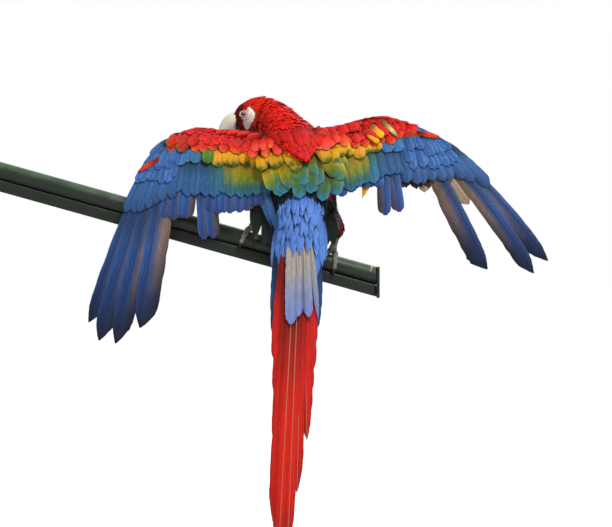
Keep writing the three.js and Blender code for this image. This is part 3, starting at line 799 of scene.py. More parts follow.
def inside_out(shapes, faces):
    """Which of many alike closed shapes have faces that point inwards, from their signed volumes."""
    corners = (shapes - shapes.mean(1, keepdims=True))[:, faces]
    fans = range(1, faces.shape[1] - 1)
    volumes = sum(
        (corners[:, :, 0] * np.cross(corners[:, :, k], corners[:, :, k + 1])).sum((1, 2)) for k in fans
    )
    return volumes < 0


class Plumage:
    """Gathers laid feathers and joins them into one mesh, with their colours and unwraps."""

    def __init__(self):
        self.points, self.faces, self.counts, self.tint = [], [], [], []
        self.vane, self.bake, self.cells = [], [], []
        self.total = 0

    def add(self, model, points, own, bake, tint, cell=None):
        """Points for one or many feathers. own holds millimetres across and along each feather."""
        size = len(model.across)
        shift = np.arange(len(points) // size) * size
        faces = model.quads + shift[:, None, None]
        corners = model.corners + shift[:, None, None]
        turned = inside_out(points.reshape(-1, size, 3), model.quads)
        faces[turned], corners[turned] = faces[turned, :, ::-1], corners[turned, :, ::-1]
        faces = faces.reshape(-1, model.quads.shape[1])
        self.counts.append(np.full(len(faces), faces.shape[1]))
        self.faces.append(faces.ravel() + self.total)
        self.points.append(points)
        self.vane.append(own[faces.ravel()])
        self.bake.append(bake[corners.ravel()])
        self.cells.append(np.full(faces.size, -1 if cell is None else cell))
        self.tint.append(tint)
        self.total += len(points)

    def unwrap(self):
        """Feathers with a cell of their own are set side by side, the others stay where they are."""
        bake, cells = np.concatenate(self.bake), np.concatenate(self.cells)
        columns = ceil(sqrt(4 * (cells.max() + 1))) or 1
        rows = ceil((cells.max() + 1) / columns) or 1
        spread = (bake + np.stack([cells % columns, cells // columns], -1)) / (columns, rows)
        return np.where(cells[:, None] < 0, bake, spread)

    def piece(self, name, material, slot, replaced=()):
        points = np.concatenate(self.points) * MM
        corners = np.concatenate(self.faces)
        counts = np.concatenate(self.counts)
        mesh = bpy.data.meshes.new(name)
        mesh.vertices.add(len(points))
        mesh.vertices.foreach_set("co", points.astype(np.float32).ravel())
        mesh.loops.add(len(corners))
        mesh.loops.foreach_set("vertex_index", corners.astype(np.int32))
        mesh.polygons.add(len(counts))
        mesh.polygons.foreach_set("loop_start", (np.cumsum(counts) - counts).astype(np.int32))
        mesh.update(calc_edges=True)
        for layer, places in (("vane", np.concatenate(self.vane)), ("OFBake", self.unwrap())):
            mesh.uv_layers.new(name=layer).data.foreach_set("uv", places.astype(np.float32).ravel())
        piece = bpy.data.objects.new(name, mesh)
        bpy.context.scene.collection.objects.link(piece)
        colour_vertices(piece, np.concatenate(self.tint))
        mesh.calc_loop_triangles()
        finish_piece(piece, material, replaced, angle=50)
        return piece


def blend_stops(codes, places):
    """Colours at places along a feather, from its colour codes."""
    stops = fade(codes)
    colours = np.array([paint(code) for _, code in stops])
    return np.stack([np.interp(places, [at for at, _ in stops], colours[:, k]) for k in range(4)], -1)


# %% [markdown]
# ## Feather finish
# A vane is woven of barbs that leave the quill at a slant, so a feather has fine slanting streaks, a
# paler or darker quill and a soft satin look. The streaks read each feather's own map, which is in
# millimetres, so they are equally fine on a cheek feather and on a wing quill. The colour of each
# feather comes with its vertices, and the group only adds the weave to it.


# %% Barb group
def barb_group():
    group = bpy.data.node_groups.new("barbs", "ShaderNodeTree")
    for name, value in (("Fineness", 1.0), ("Depth", 0.3), ("Quill", 0.5)):
        socket = group.interface.new_socket(name, in_out="INPUT", socket_type="NodeSocketFloat")
        socket.default_value = value
    for name in ("Shade", "Height", "Quill mask"):
        group.interface.new_socket(name, in_out="OUTPUT", socket_type="NodeSocketFloat")
    given = add_node(group, "NodeGroupInput").outputs
    own = add_node(group, "UVMap", uv_map="vane")
    split = add_node(group, "SeparateXYZ", in_0=own.outputs[0]).outputs
    side = reckon(group, "ABSOLUTE", split["X"])
    slant = reckon(group, "SUBTRACT", split["Y"], reckon(group, "MULTIPLY", side, 1.25))
    barb = add_node(group, "CombineXYZ", in_X=slant, in_Y=reckon(group, "MULTIPLY", split["X"], 0.12))
    lane = add_node(group, "CombineXYZ", in_X=split["X"], in_Y=reckon(group, "MULTIPLY", split["Y"], 0.06))
    coarse = noise(group, barb.outputs[0], 0.45, 3.0)
    fine = noise(group, barb.outputs[0], given["Fineness"])
    lanes = noise(group, lane.outputs[0], 0.55, 3.0)
    quill = add_node(group, "MapRange", interpolation_type="SMOOTHSTEP", in_Value=side, in_From_Min=0.35,
                     in_From_Max=0.8, in_To_Min=1.0, in_To_Max=0.0).outputs[0]
    both = reckon(group, "ADD", coarse, reckon(group, "MULTIPLY_ADD", lanes, 1.6, -0.8))
    streak = reckon(group, "SUBTRACT", reckon(group, "ADD", both, fine), 1.0)
    shade = reckon(group, "MULTIPLY_ADD", streak, given["Depth"], 1.0)
    height = reckon(group, "ADD", fine, reckon(group, "MULTIPLY", quill, 1.5))
    mask = reckon(group, "MULTIPLY", quill, given["Quill"])
    add_node(group, "NodeGroupOutput", in_Shade=shade, in_Height=height, in_Quill_mask=mask)
    return group


BARBS = barb_group()
print("barb group of", len(BARBS.nodes), "nodes")


def feather_finish(name, fineness, depth, quill, bump, roughness, quill_colour=None):
    """Tint from the vertices, woven with slanting barbs, and a quill of its own colour."""
    material, tree, shader = new_material(name, Roughness=roughness, Specular_IOR_Level=0.22)
    weave = add_node(tree, "Group", node_tree=BARBS, in_Fineness=fineness, in_Depth=depth,
                     in_Quill=quill).outputs
    tint = stored(tree, "tint", "Color")
    woven = scaled(tree, tint, weave["Shade"])
    quill_tint = paint(quill_colour) if quill_colour else scaled(tree, tint, 0.45)
    feed(tree, blend(tree, weave["Quill mask"], woven, quill_tint), shader.inputs["Base Color"])
    set_relief(tree, shader, weave["Height"], bump, 0.4)
    return material


SOFT_FEATHER = feather_finish("contour_feather", fineness=2.2, depth=0.6, quill=0.0, bump=0.5,
                              roughness=0.6)
FLIGHT_FEATHER = feather_finish("flight_feather", fineness=1.6, depth=0.8, quill=0.5, bump=0.6,
                                roughness=0.5)
TAIL_FEATHER = feather_finish("tail_feather", fineness=1.6, depth=0.5, quill=0.6, bump=0.6,
                              roughness=0.5, quill_colour="a88468")

# %% [markdown]
# ## The coat
# Contour feathers grow in close, staggered rows, small on the face and larger down the back. Their
# roots are scattered over the skin, no two nearer than the spacing of their region, and each lies
# along the body with its root sunk and its tip a little raised over the next ones. A regular grid of
# roots would be simpler, and would show as stripes.

# %% Regions of the coat
# spacing, length, half width, tip height, and colour codes from root to tip
REGIONS = {
    "crown": (2.3, 8.5, 2.0, 1.3, "7c0600 d81c06@50 f8340a"),
    "cheek": (2.4, 8.5, 2.0, 1.3, "901000 dc2c04@50 f84608"),
    # the lores are darkened as painted shade in front of the face
    "lores": (1.5, 5.0, 1.2, 0.8, "3c0402 7a0602@50 940c04"),
    "nape": (3.3, 19.0, 3.0, 3.4, "640604 b00e08@40 ec2216"),
    "throat": (3.6, 13.0, 3.0, 2.0, "700808 b81410@60 cc2018"),
    "mantle": (5.0, 25.0, 5.0, 2.6, "4c0406 b41012@50 e42a2a"),
    "breast": (5.4, 25.0, 5.4, 2.4, "600404 a40c0a@60 be1812"),
    "rump": (3.3, 22.0, 2.7, 2.2, "2c54a0 5480d0@50 7c9ce8"),
    # near black: painted shade beside the rump dome and behind the right thigh
    "flank": (4.4, 17.0, 3.6, 1.6, "04070a 0c1618@60 182826"),
    # the thighs' red is darkened as painted shade under the body
    "thigh": (4.6, 20.0, 3.8, 2.0, "140405 480c0a@60 6c1810"),
    "wing_front": (4.4, 17.0, 4.4, 3.4, "700608 c01010@60 ec2a20"),
    "wing_edge": (4.8, 19.0, 4.8, 2.0, "14284c 30588c@60 6488c4"),
    "wing_under": (5.6, 22.0, 5.6, 2.0, "801010 b42416@70 cc4818"),
    "vent": (5.0, 26.0, 4.6, 2.2, "1c3a70 305c9c@70 4474b4"),
}
CROWN_TO_NAPE = {"spacing": 1.6, "length": 5.5, "half": 1.35}
WAIST = 636
VENT_TOP = 560
NECK_FROM = 0.62
HAND_FROM = 178
ROWS_TOP = {"left": 694.0, "right": 704.0, "drop": 24}
RUMP_DOME = {"x": 1.5, "z": 562, "wide": 46, "high": 48}
FACE_BORDERS = {"cheek_top": 2, "cheek_side": 10, "lores": 17, "chin": -16, "nape": -16}


def trunk_places(points):
    """How far along the trunk each point is, and the trunk's direction there."""
    places = np.linspace(0, 1, 140)
    line = curve([s[:3] for s in TRUNK], places)
    nearest = np.argmin(((points[:, None] - line[None]) ** 2).sum(2), axis=1)
    run = unit(np.gradient(line, axis=0))
    return places[nearest], run[nearest]


def nearest_form(points):
    names = list(FORM_SURFACE)
    away = np.array([[FORM_SURFACE[n].find_nearest(p)[3] for n in names] for p in points.tolist()])
    return np.array(names)[np.argmin(away, axis=1)]


def region_of(points, normals):
    """The name of the coat's region at each point of the skin, or bare."""
    form = nearest_form(points).astype(str)
    place, _ = trunk_places(points)
    forward, left, up = head_measures(points)
    x, z = points[:, 0], points[:, 2]
    behind = -normals[:, 1]
    trunk, skull, arm = form == "trunk", form == "skull", np.char.startswith(form, "arm")
    over_dome = np.maximum(z - RUMP_DOME["z"], 0) / RUMP_DOME["high"]
    in_dome = ((x - RUMP_DOME["x"]) / RUMP_DOME["wide"]) ** 2 + over_dome ** 2 < 1
    found = np.full(len(points), "breast", dtype=object)
    found[trunk & (behind > -0.15) & (z > WAIST)] = "mantle"
    # Below the waist, the back outside the rump dome gets near-black feathers: painted shade beside the
    # dome.
    found[trunk & (behind > -0.1) & (z <= WAIST)] = "flank"
    found[(found == "flank") & in_dome] = "rump"
    found[trunk & (behind <= -0.1) & (z < VENT_TOP)] = "vent"
    found[trunk & (place > NECK_FROM)] = "nape"
    found[trunk & (place > NECK_FROM) & (behind < -0.3)] = "throat"
    found[skull] = "crown"
    found[skull & (up < FACE_BORDERS["cheek_top"]) & (np.abs(left) > FACE_BORDERS["cheek_side"])] = "cheek"
    found[skull & (forward > FACE_BORDERS["lores"]) & (up > FACE_BORDERS["chin"])] = "lores"
    found[skull & (up < FACE_BORDERS["chin"])] = "throat"
    found[skull & (forward < FACE_BORDERS["nape"])] = "nape"
    found[np.char.startswith(form, "thigh")] = "thigh"
    # The back of the right thigh gets the same near-black feathers, as painted shade.
    found[(found == "thigh") & (x > 0) & (x < 57) & (behind > -0.1)] = "flank"
    found[arm] = "wing_front"
    found[arm & (np.abs(x) > HAND_FROM)] = "wing_edge"
    found[arm & (normals[:, 1] > 0.1)] = "wing_under"
    found[arm & (behind > 0.2) & (z < back_rows_top(x))] = "covered"
    found[bareness(points) > 0.5] = "bare"
    return found


def back_rows_top(x):
    """Below this height the long rows of wing feathers hide the skin of the arm."""
    level = np.where(x < 0, ROWS_TOP["left"], ROWS_TOP["right"])
    return level - ROWS_TOP["drop"] * smooth(180, 235, np.abs(x))


def lie_of(points, normals, regions):
    """The direction a feather points in: away from the bill, down the body and out along the wing."""
    _, run = trunk_places(points)
    forward, _, _ = head_measures(points)
    down = np.array([0.0, 0.0, -1.0])
    lie = -run
    headed = np.isin(regions, ["crown", "cheek", "lores", "throat", "nape", "bare"])
    share = (smooth(-34, -14, forward) * headed)[:, None]
    lie = unit(mix(lie, 0.35 * down - HEAD_FORWARD, share))
    leg = (regions == "thigh") | ((regions == "flank") & (points[:, 1] > -30))
    for name, way in (("left", -1), ("right", 1)):
        mine = leg & (points[:, 0] * way > 0)
        lie[mine] = unit(HEELS[name] - points[mine] + np.array([0, 0, -40.0]))
    wing = np.char.startswith(regions.astype(str), "wing")
    fan = np.sign(points[:, 0]) * 1.3 * smooth(60, 150, np.abs(points[:, 0]))
    front = np.where(normals[:, 1] > 0.1, 0.7, -0.7)
    lie[wing] = np.stack([fan, front, -np.ones(len(points))], 1)[wing]
    return unit(lie - normals * (lie * normals).sum(1, keepdims=True))


def measure_of(regions, points):
    """Spacing, length, half width and tip height at each point."""
    table = np.array([REGIONS.get(r, (6, 20, 6, 2))[:4] for r in regions], float)
    forward, _, _ = head_measures(points)
    on_skull = np.isin(regions, ["crown", "cheek"])
    to_nape = smooth(32, -18, forward)
    for column, key in ((0, "spacing"), (1, "length"), (2, "half")):
        own = mix(CROWN_TO_NAPE[key], table[:, column] * 1.15, to_nape)
        table[on_skull, column] = own[on_skull]
    table[on_skull, 3] += (1.9 * smooth(4, -18, forward))[on_skull]
    return table


def scatter(random, tries):
    """Roots spread over the skin, no two closer than their region's spacing."""
    corners = ground.points[ground.faces]
    middle = corners.mean(1)
    cross = np.cross(corners[:, 1] - corners[:, 0], corners[:, 2] - corners[:, 0])
    normals = unit(cross)
    regions = region_of(middle, normals)
    spacing = measure_of(regions, middle)[:, 0]
    weight = np.linalg.norm(cross, axis=1) / spacing ** 2
    weight[np.isin(regions, ["covered", "bare"])] = 0
    picked = random.choice(len(middle), size=tries, p=weight / weight.sum())
    a, b = random.random((2, tries, 1))
    turned = a + b > 1
    a, b = np.where(turned, 1 - a, a), np.where(turned, 1 - b, b)
    chosen = corners[picked]
    points = chosen[:, 0] + a * (chosen[:, 1] - chosen[:, 0]) + b * (chosen[:, 2] - chosen[:, 0])
    tree = KDTree(tries)
    for index, point in enumerate(points.tolist()):
        tree.insert(point, index)
    tree.balance()
    free = np.ones(tries, bool)
    kept = []
    for index in range(tries):
        if free[index]:
            kept.append(index)
            for _, other, _ in tree.find_range(points[index].tolist(), spacing[picked[index]]):
                free[other] = False
    return points[kept], picked[kept], regions[picked[kept]]


# the side of a small feather's own patch on the bake map
PATCH = 0.003


def lay_on_skin(plumage, vane, roots, triangles, lie, sizes, rise, tint):
    """Lays one model vane at every root, bent to the skin under it."""
    length, half, tip = sizes.T
    across, forth = vane.across[:vane.half], vane.along[:vane.half]
    _, normals, _ = ground.nearest(roots)
    side = np.cross(lie, normals)
    flat = (
        roots[:, None]
        + lie[:, None] * (length[:, None] * forth)[:, :, None]
        + side[:, None] * (half[:, None] * across)[:, :, None]
    )
    places, above, _ = ground.nearest(flat.reshape(-1, 3))
    places = places.reshape(flat.shape)
    above = unit(above.reshape(flat.shape) + 0.8 * normals[:, None])
    height = mix(-0.7, tip[:, None] + rise[:, None], forth ** 0.85) - 0.5 * (across ** 2) * half[:, None] / 4
    thick = mix(0.5, 0.28, forth)
    upper = places + above * (height + thick / 2)[:, :, None]
    lower = places + above * (height - thick / 2)[:, :, None]
    points = np.concatenate([upper, lower], 1).reshape(-1, 3)
    own = np.stack([half[:, None] * across, length[:, None] * forth], -1)
    patch = PATCH * np.stack([across * 0.45, forth - 0.5], -1)
    bake = ground.unwrap_at(triangles)[:, None] + patch
    own, bake = (np.tile(each, (1, 2, 1)).reshape(-1, 2) for each in (own, bake))
    plumage.add(vane, points, own, bake, tint)


random = np.random.default_rng(11)
roots, root_faces, root_regions = scatter(random, tries=90000)
_, root_normals, _ = ground.nearest(roots)
root_lie = lie_of(roots, root_normals, root_regions)
root_sizes = measure_of(root_regions, roots)
print("roots", {r: int((root_regions == r).sum()) for r in sorted(set(root_regions))})


# %% Coat pieces
def feather_tints(vane, codes, count, random, shade=1.0):
    """Colours for every point of many like feathers, no two quite as bright. The shade given makes whole
    feathers lighter or darker: painted light and shade.
    """
    one = blend_stops(codes, vane.along[:vane.half])
    bright = 1 + 0.1 * random.standard_normal((count, 1, 1))
    bright = bright * np.broadcast_to(shade, count)[:, None, None]
    tints = np.clip(one[None] * bright, 0, 1)
    tints[:, :, 3] = 1
    return np.concatenate([tints, tints * (0.8, 0.8, 0.8, 1)], 1).reshape(-1, 4)


def drift(points, wavelength, seed):
    """A value from about -1 to 1 that changes slowly from place to place."""
    own = np.random.default_rng(seed)
    total = np.zeros(len(points))
    for _ in range(6):
        way = unit(own.standard_normal(3)) * own.uniform(0.7, 1.5)
        total += np.sin(points @ way * (2 * pi / wavelength) + own.uniform(0, 7))
    return total / 2.6


def turn_about(vectors, axes, degrees):
    """Vectors turned about unit axes that they are square to."""
    angle = np.radians(degrees)[:, None]
    return vectors * np.cos(angle) + np.cross(axes, vectors) * np.sin(angle)


COATS = {
    "coat_head": ["crown", "cheek", "lores"],
    "coat_neck": ["nape", "throat"],
    "coat_body": ["mantle", "breast", "rump", "flank", "vent"],
    "coat_legs": ["thigh"],
    "coat_wings": ["wing_front", "wing_edge", "wing_under"],
}
for coat, members in COATS.items():
    plumage = Plumage()
    for region in members:
        mine = root_regions == region
        count = int(mine.sum())
        if not count:
            continue
        vane = HAIR_VANE if region in ("flank", "vent") else SMALL_VANE
        clump = 14.0 if region in ("nape", "mantle", "rump") else 9.0
        sway = 5 * random.standard_normal(count) + 13 * drift(roots[mine], clump, 5)
        lie = turn_about(root_lie[mine], root_normals[mine], sway)
        sizes = root_sizes[mine][:, 1:] * (1 + 0.08 * random.standard_normal((count, 1)))
        # Feathers in a clump rise and sink together; the raised ones are painted lighter and the sunken ones
        # darker, as painted light and shade.
        furrows = drift(roots[mine], clump, 6)
        rise = 0.4 * random.random(count) + 0.9 * furrows
        tints = feather_tints(vane, REGIONS[region][4], count, random, shade=1 + 0.16 * furrows)
        lay_on_skin(plumage, vane, roots[mine], root_faces[mine], lie, sizes, rise, tints)
    plumage.piece(coat, SOFT_FEATHER, "red_plumage")

# %% [markdown]
# ## Rows of wing and tail feathers
# Flight feathers and their coverts stand in rows, each feather half over its neighbour. A row is given
# by its first and last root and the way its first and last feather point. Between them every feather
# takes its own heading, as the ribs of a fan do, and rides one step higher over the next.


# %% Rows
class Row:
    """A row of roots on a sheet, as x and z, and the heading of the feather at each slot."""

    def __init__(self, start, end, turn, count, bow=0.0):
        self.start, self.end = np.array(start, float), np.array(end, float)
        self.turn, self.count, self.bow = turn, count, bow

    def share(self, slot):
        return slot / max(1, self.count - 1)

    def root(self, slot):
        t = self.share(slot)
        x = mix(self.start[0], self.end[0], t)
        z = mix(self.start[1], self.end[1], t) + self.bow * 4 * t * (1 - t)
        return x, z

    def heading(self, slot):
        return np.radians(mix(self.turn[0], self.turn[1], self.share(slot)))

    def miss(self, slot, x, z):
        root_x, root_z = self.root(slot)
        heading = self.heading(slot)
        return np.cos(heading) * (x - root_x) + np.sin(heading) * (z - root_z)

    def slot_at(self, x, z, guess):
        """Which feather's line runs through a place."""
        slot = np.full(np.shape(x), float(guess))
        for _ in range(12):
            error = self.miss(slot, x, z)
            rate = (self.miss(slot + 0.01, x, z) - error) / 0.01
            slot = np.clip(slot - error / rate, guess - 4, guess + 4)
        return slot


ROUND_VANE = Vane("round", 6, 10, "round", ragged=0.012)
BROAD_VANE = Vane("broad", 6, 8, "broad", ragged=0.02)
LONG_VANE = Vane("long", 8, 22, "long")
SQUARE_VANE = Vane("square", 6, 12, "square", ragged=0.015)
STRAP_VANE = Vane("strap", 8, 22, "square")
THIN_VANE = Vane("thin", 4, 10, "thin")
POINTED_VANE = Vane("pointed", 6, 9, "pointed", ragged=0.03)


class Flock:
    """The rows of one piece, each feather in a cell of its own on the bake map."""

    def __init__(self, seed, sheet):
        self.plumage = Plumage()
        self.random = np.random.default_rng(seed)
        self.sheet = sheet
        self.cell = 0

    def lay(self, row, slot, vane, length, webs, colours, lift, sheet=None, thick=0.55, sink=3.0,
            sway=0.0, bend=0.0, camber=0.7, step=0.9, quill=0.0, dusk=(0.2, 0.6), shaft=None,
            emerge=0.14):
        """Lays one feather of a row. webs are its widths on the two sides of the quill. Its root, and the
        inner edge that slips under its neighbour, are darkened as painted shade.
        """
        depth_at = sheet or self.sheet
        root_x, root_z = row.root(slot)
        heading = row.heading(slot) + radians(sway)
        run_x, run_z = sin(heading), -cos(heading)
        way = np.sign(row.root(slot + 0.5)[0] - row.root(slot - 0.5)[0]) or 1.0

        def placed(across, forth, over):
            aside = (across + bend * 4 * forth * (1 - forth)) * way
            x = root_x + run_x * length * forth - run_z * aside
            z = root_z + run_z * length * forth + run_x * aside
            rise = lift + (row.slot_at(x, z, slot) - slot) * step
            rise = rise - sink * (1 - smooth(0, emerge, forth)) + over
            return np.stack([x, depth_at(x, z) - rise, z], -1)

        web = np.where(vane.across < 0, webs[0], webs[1])
        across = vane.across * web * self.wear_and_painted_light(vane)
        over = vane.through * thick * (1 - 0.45 * np.abs(vane.across)) - camber * vane.across ** 2
        points = placed(across, vane.along, over)
        own = np.stack([across, vane.along * length], -1)
        upper = np.arange(len(points)) < vane.half
        strip = np.where(upper, 0.25 + 0.2 * vane.across, 0.75 - 0.2 * vane.across)
        bake = np.stack([strip, 0.04 + 0.92 * vane.along], -1)
        tint = colours(vane, upper) * (1 + 0.08 * self.random.standard_normal())
        # Painted shade: the root, and the edge that slips under the next feather, are darkened.
        lit = smooth(dusk[0], dusk[1], vane.along) * smooth(-1.15, -0.25, vane.across)
        tint *= mix(0.3, 1, lit)[:, None]
        tint[:, 3] = 1
        self.plumage.add(vane, points, own, bake, np.clip(tint, 0, 1), self.cell)
        if quill:
            radius = SHAFT.across * quill
            points = placed(radius, SHAFT.along * 0.96, SHAFT.through * quill)
            own = np.stack([radius * 0.2, SHAFT.along * length], -1)
            bake = np.stack([0.25 + 0.004 * SHAFT.across, 0.04 + 0.9 * SHAFT.along], -1)
            tint = colours(SHAFT, np.ones(len(points), bool)) * (0.5, 0.5, 0.5, 1)
            if shaft:
                tint = np.tile(paint(shaft), (len(points), 1))
            self.plumage.add(SHAFT, points, own, bake, tint, self.cell)
        self.cell += 1

    def wear_and_painted_light(self, vane):
        """Small nicks along the edges, where barbs have parted."""
        if vane.half < 100:
            return 1.0
        rows = np.round(vane.along, 4)
        levels = {v: k for k, v in enumerate(sorted(set(rows)))}
        nicks = 1 - 0.09 * self.random.random((len(levels), 2)) ** 2
        index = np.array([levels[v] for v in rows])
        return nicks[index, (vane.across > 0).astype(int)]

    def tier(self, row, vane, lengths, webs, palette, lift, uneven=0.06, stray=1.0, lean=None, **shape):
        """Every feather of a row. lengths is one length, or one for each slot with 0 for a lost one."""

        def chance(reach):
            return reach * self.random.uniform(-1, 1)

        for slot in range(row.count):
            length = lengths[slot] if isinstance(lengths, list) else lengths
            own_webs = webs[slot] if isinstance(webs, list) else webs
            length = length * (1 + chance(uneven))
            sway = chance(4.5 * stray) + (lean or {}).get(slot, 0)
            place = slot + chance(0.16 * stray)
            over = lift + chance(0.35 * stray)
            if length > 0:
                share = row.share(slot) + chance(0.05 * stray)
                colours = palette_at(palette, share, chance(1))
                self.lay(row, place, vane, length, own_webs, colours, over, sway=sway, **shape)

    def single(self, x, z, heading, vane, length, webs, palette, lift, **shape):
        """One feather of its own place and heading."""
        row = Row((x, z), (x + 13 * (1 if x > 0 else -1), z), (heading, heading), 2)
        colours = palette_at(palette, 0, self.random.uniform(-0.6, 0.6))
        self.lay(row, 0, vane, length, webs, colours, lift, **shape)

    def strays(self, table):
        """Single coverts: root x and z, heading, vane, length, webs, colouring and height."""
        for *feather, lift in table:
            self.single(*feather, **rooted(lift))


def palette_at(palette, share, chance=0.0):
    """The colouring of a feather at a place along its row, from the row's inner and outer colours."""
    turn, blur = palette.get("turn", 0.5), palette.get("blur", 0.12)
    weight = float(smooth(turn - blur, turn + blur, share))
    spotted = abs(chance) < 0.65 and weight < 0.4
    first, last = palette["inner"], palette.get("outer", palette["inner"])
    if "mid" in palette:
        first, last = (first, palette["mid"]) if weight < 0.5 else (palette["mid"], last)
        weight = 2 * weight % 1 if weight < 1 else 1.0

    def colours(vane, upper):
        tint = mix(blend_stops(first, vane.along), blend_stops(last, vane.along), weight)
        if "web" in palette:
            dusk = blend_stops(palette["web"], vane.along)
            hidden = smooth(0.12, 0.5, -vane.across)[:, None] * 0.85
            tint = mix(tint, dusk, hidden)
        if "edge" in palette:
            rim = blend_stops(palette["edge"], vane.along)
            aside = vane.across if "web" in palette else np.abs(vane.across)
            tint = mix(tint, rim, smooth(0.5, 0.95, aside)[:, None] * 0.8)
        if "spot" in palette:
            aside = (vane.across - 0.5 * chance) / 0.5
            spot = np.exp(-((vane.along - 0.9) / 0.08) ** 2 - aside ** 2)[:, None]
            tint = mix(tint, paint(palette["spot"]), np.clip(spot * 1.3, 0, 1) * spotted)
        under = blend_stops(palette.get("under", UNDER), vane.along)
        return np.where(upper[:, None], tint, under)

    return colours


UNDER = "8a4a34 9a5a3a@50 6a4436"


def rooted(lift):
    """A covert's height over its sheet: its root is sunk and it rises slowly."""
    return {"lift": lift, "sink": lift + 2, "emerge": 0.5}


print("rows ready")

# %% [markdown]
# ## Wings
# Each wing is built up the way it grows: flight feathers first, then the great coverts over their
# roots, then the middle and the lesser coverts, each tier higher than the last. Scarlet gives way to
# yellow, green and blue from the shoulder to the flight feathers, and the great and middle coverts
# turn blue towards the hand. The hidden inner web of a flight feather is a dull brown, which shows
# where its neighbour is missing.

# %% Wing colours
SECONDARY = {
    "inner": "204070 284c84@60 203c74",
    "web": "483a38 5c4a40@60 463a38",
    "edge": "3c6498 3c60a4",
}
PRIMARY = {
    "inner": "3c6ca4 2c548c@25 1e3c70@60 162850@85 0c1424",
    "web": "bca084 a08468@35 6c5850@60 1c2440@82 0c1424",
    "edge": "4474a8 2c5088@60 142440",
    "under": "8a4a34 9a5a3a@50 5c3c34@84 181c28@93 10141e",
}
PALE_WEB = {"inner": "8c7460 a48c74@50 8c7868", "edge": "8c7460 7c6c64"}
GREAT = {
    "inner": "c88c08 a88c08@40 6c7c10@62 245c54@80 2c6488",
    "mid": "5c7c20 3c7844@30 286470@60 2c6488",
    "outer": "2c6068 24547c@35 2a568c",
    "turn": 0.44,
    "blur": 0.16,
}
MIDDLE = {
    "inner": "c82808 e87006@35 eca004@60 d89804@84 4c7018@95 2c5c30",
    "mid": "a08c10 5c8420@40 2c6c4c@80 245c5c",
    "outer": "2c6478 30689c@50 3c70ac",
    "turn": 0.7,
    "blur": 0.08,
    "spot": "2c5c28",
}
LESSER_LOW = {
    "inner": "940c08 cc180c@50 e4340c@84 e8740c",
    "outer": "900c0c c01810@60 b02810@86 44702c",
    "turn": 0.72,
}
LESSER = {"inner": "7c0608 c0100c@50 e4241c@85 ee3c34"}
HAND_GREAT = {"inner": "2c5c94 34649c@50 284c80", "web": "2c4870 2c4064"}
HAND_SMALL = {"inner": "24508c 305c9c@60 3c68a8", "edge": "2c5890 5884c4"}
RED_EDGE = {"inner": "c02008 f03c0c@50 c82c08"}
GREEN_SPOT = {"inner": "b88c10 5c8414@50 2c6420", "edge": "9c9c10 3c7830"}
GOLD = {"inner": "e06c08 f8b004@50 f4a804@90 5c8018"}
# a yellow covert with a pale cream band: the pale band is a painted highlight
YELLOW_WITH_PAINTED_HIGHLIGHT = {"inner": "f4c808 f4ec9c@60 3c7838", "edge": "306020 286030"}
# near-black feathers under the right wing that stand for the shade there: painted shade
PAINTED_SHADE_UNDERWING = {"inner": "14100e 2c1c12@60 3c2c18"}
UNDERWING = {
    "inner": "a01410 d03418@60 e05820",
    "under": "a01410 d03418@60 e06424",
}

# %% Left wing
RED_GREEN = LESSER_LOW | {
    "inner": "8c0c0c c81c10@60 b82c10@85 4c6c28", "edge": "7c1c0c a04414@60 4c7830",
}
HAND_QUILLS = {"uneven": 0, "stray": 0, "thick": 0.8, "step": STEP, "quill": 1.1, "camber": 1.4}
left = Flock(21, back_y)
lengths = [72, 76, 80, 83, 85, 84, 83, 82, 121, 124, 92, 92, 92, 90]
left.tier(Row((-70, 658), (-202, 654), (5, -8), 14), SQUARE_VANE, lengths, (13, 8), SECONDARY, 0,
          lean={8: 11, 9: 10}, uneven=0.03, stray=0.6, quill=0.7)
left.tier(Row((-64, 672), (-196, 674), (10, -8), 12), ROUND_VANE, 72, (12.5, 10), GREAT, 3.6, stray=0.8)
left.tier(Row((-60, 690), (-184, 694), (2, -12), 10, 3), BROAD_VANE, 46, (11.5, 10), MIDDLE, stray=1.6,
          uneven=0.1, **rooted(6.8))
left.tier(Row((-62, 692), (-190, 694), (-16, -46), 11, 5), BROAD_VANE, 31, (9, 8.5), LESSER_LOW,
          stray=2.4, uneven=0.16, **rooted(9))
left.tier(Row((-60, 695), (-188, 700), (-26, -58), 12, 6), BROAD_VANE, 27, (7.5, 7), LESSER,
          stray=2.4, uneven=0.18, **rooted(10.6))
left.tier(Row((-72, 656), (-82, 655), (21, 15), 3), THIN_VANE, [126, 158, 118], (6, 5.5), HAND_GREAT, -1)
left.tier(Row((-80, 674), (-178, 677), (3, -6), 11), BROAD_VANE, 50, (9, 8), UNDERWING, -8, sink=-2)
left.tier(Row((-76, 690), (-182, 694), (3, -8), 12), BROAD_VANE, 38, (8, 7.5), UNDERWING, -10, sink=-2)
beside_neck = [(-50, 696, -84), (-66, 698, -87), (-82, 699, -89), (-100, 700, -88)]
left.strays([
    (-145, 688, -3, ROUND_VANE, 36, (9, 9), GREEN_SPOT, 10),
    *[(*place, BROAD_VANE, 36, (8, 8), LESSER, 9.6) for place in beside_neck],
    (-168, 702, -42, ROUND_VANE, 40, (9, 9), RED_GREEN, 12),
    (-184, 700, -58, ROUND_VANE, 34, (8, 8), RED_GREEN, 12.4),
    (-150, 706, -50, ROUND_VANE, 36, (8, 8), LESSER, 13),
])

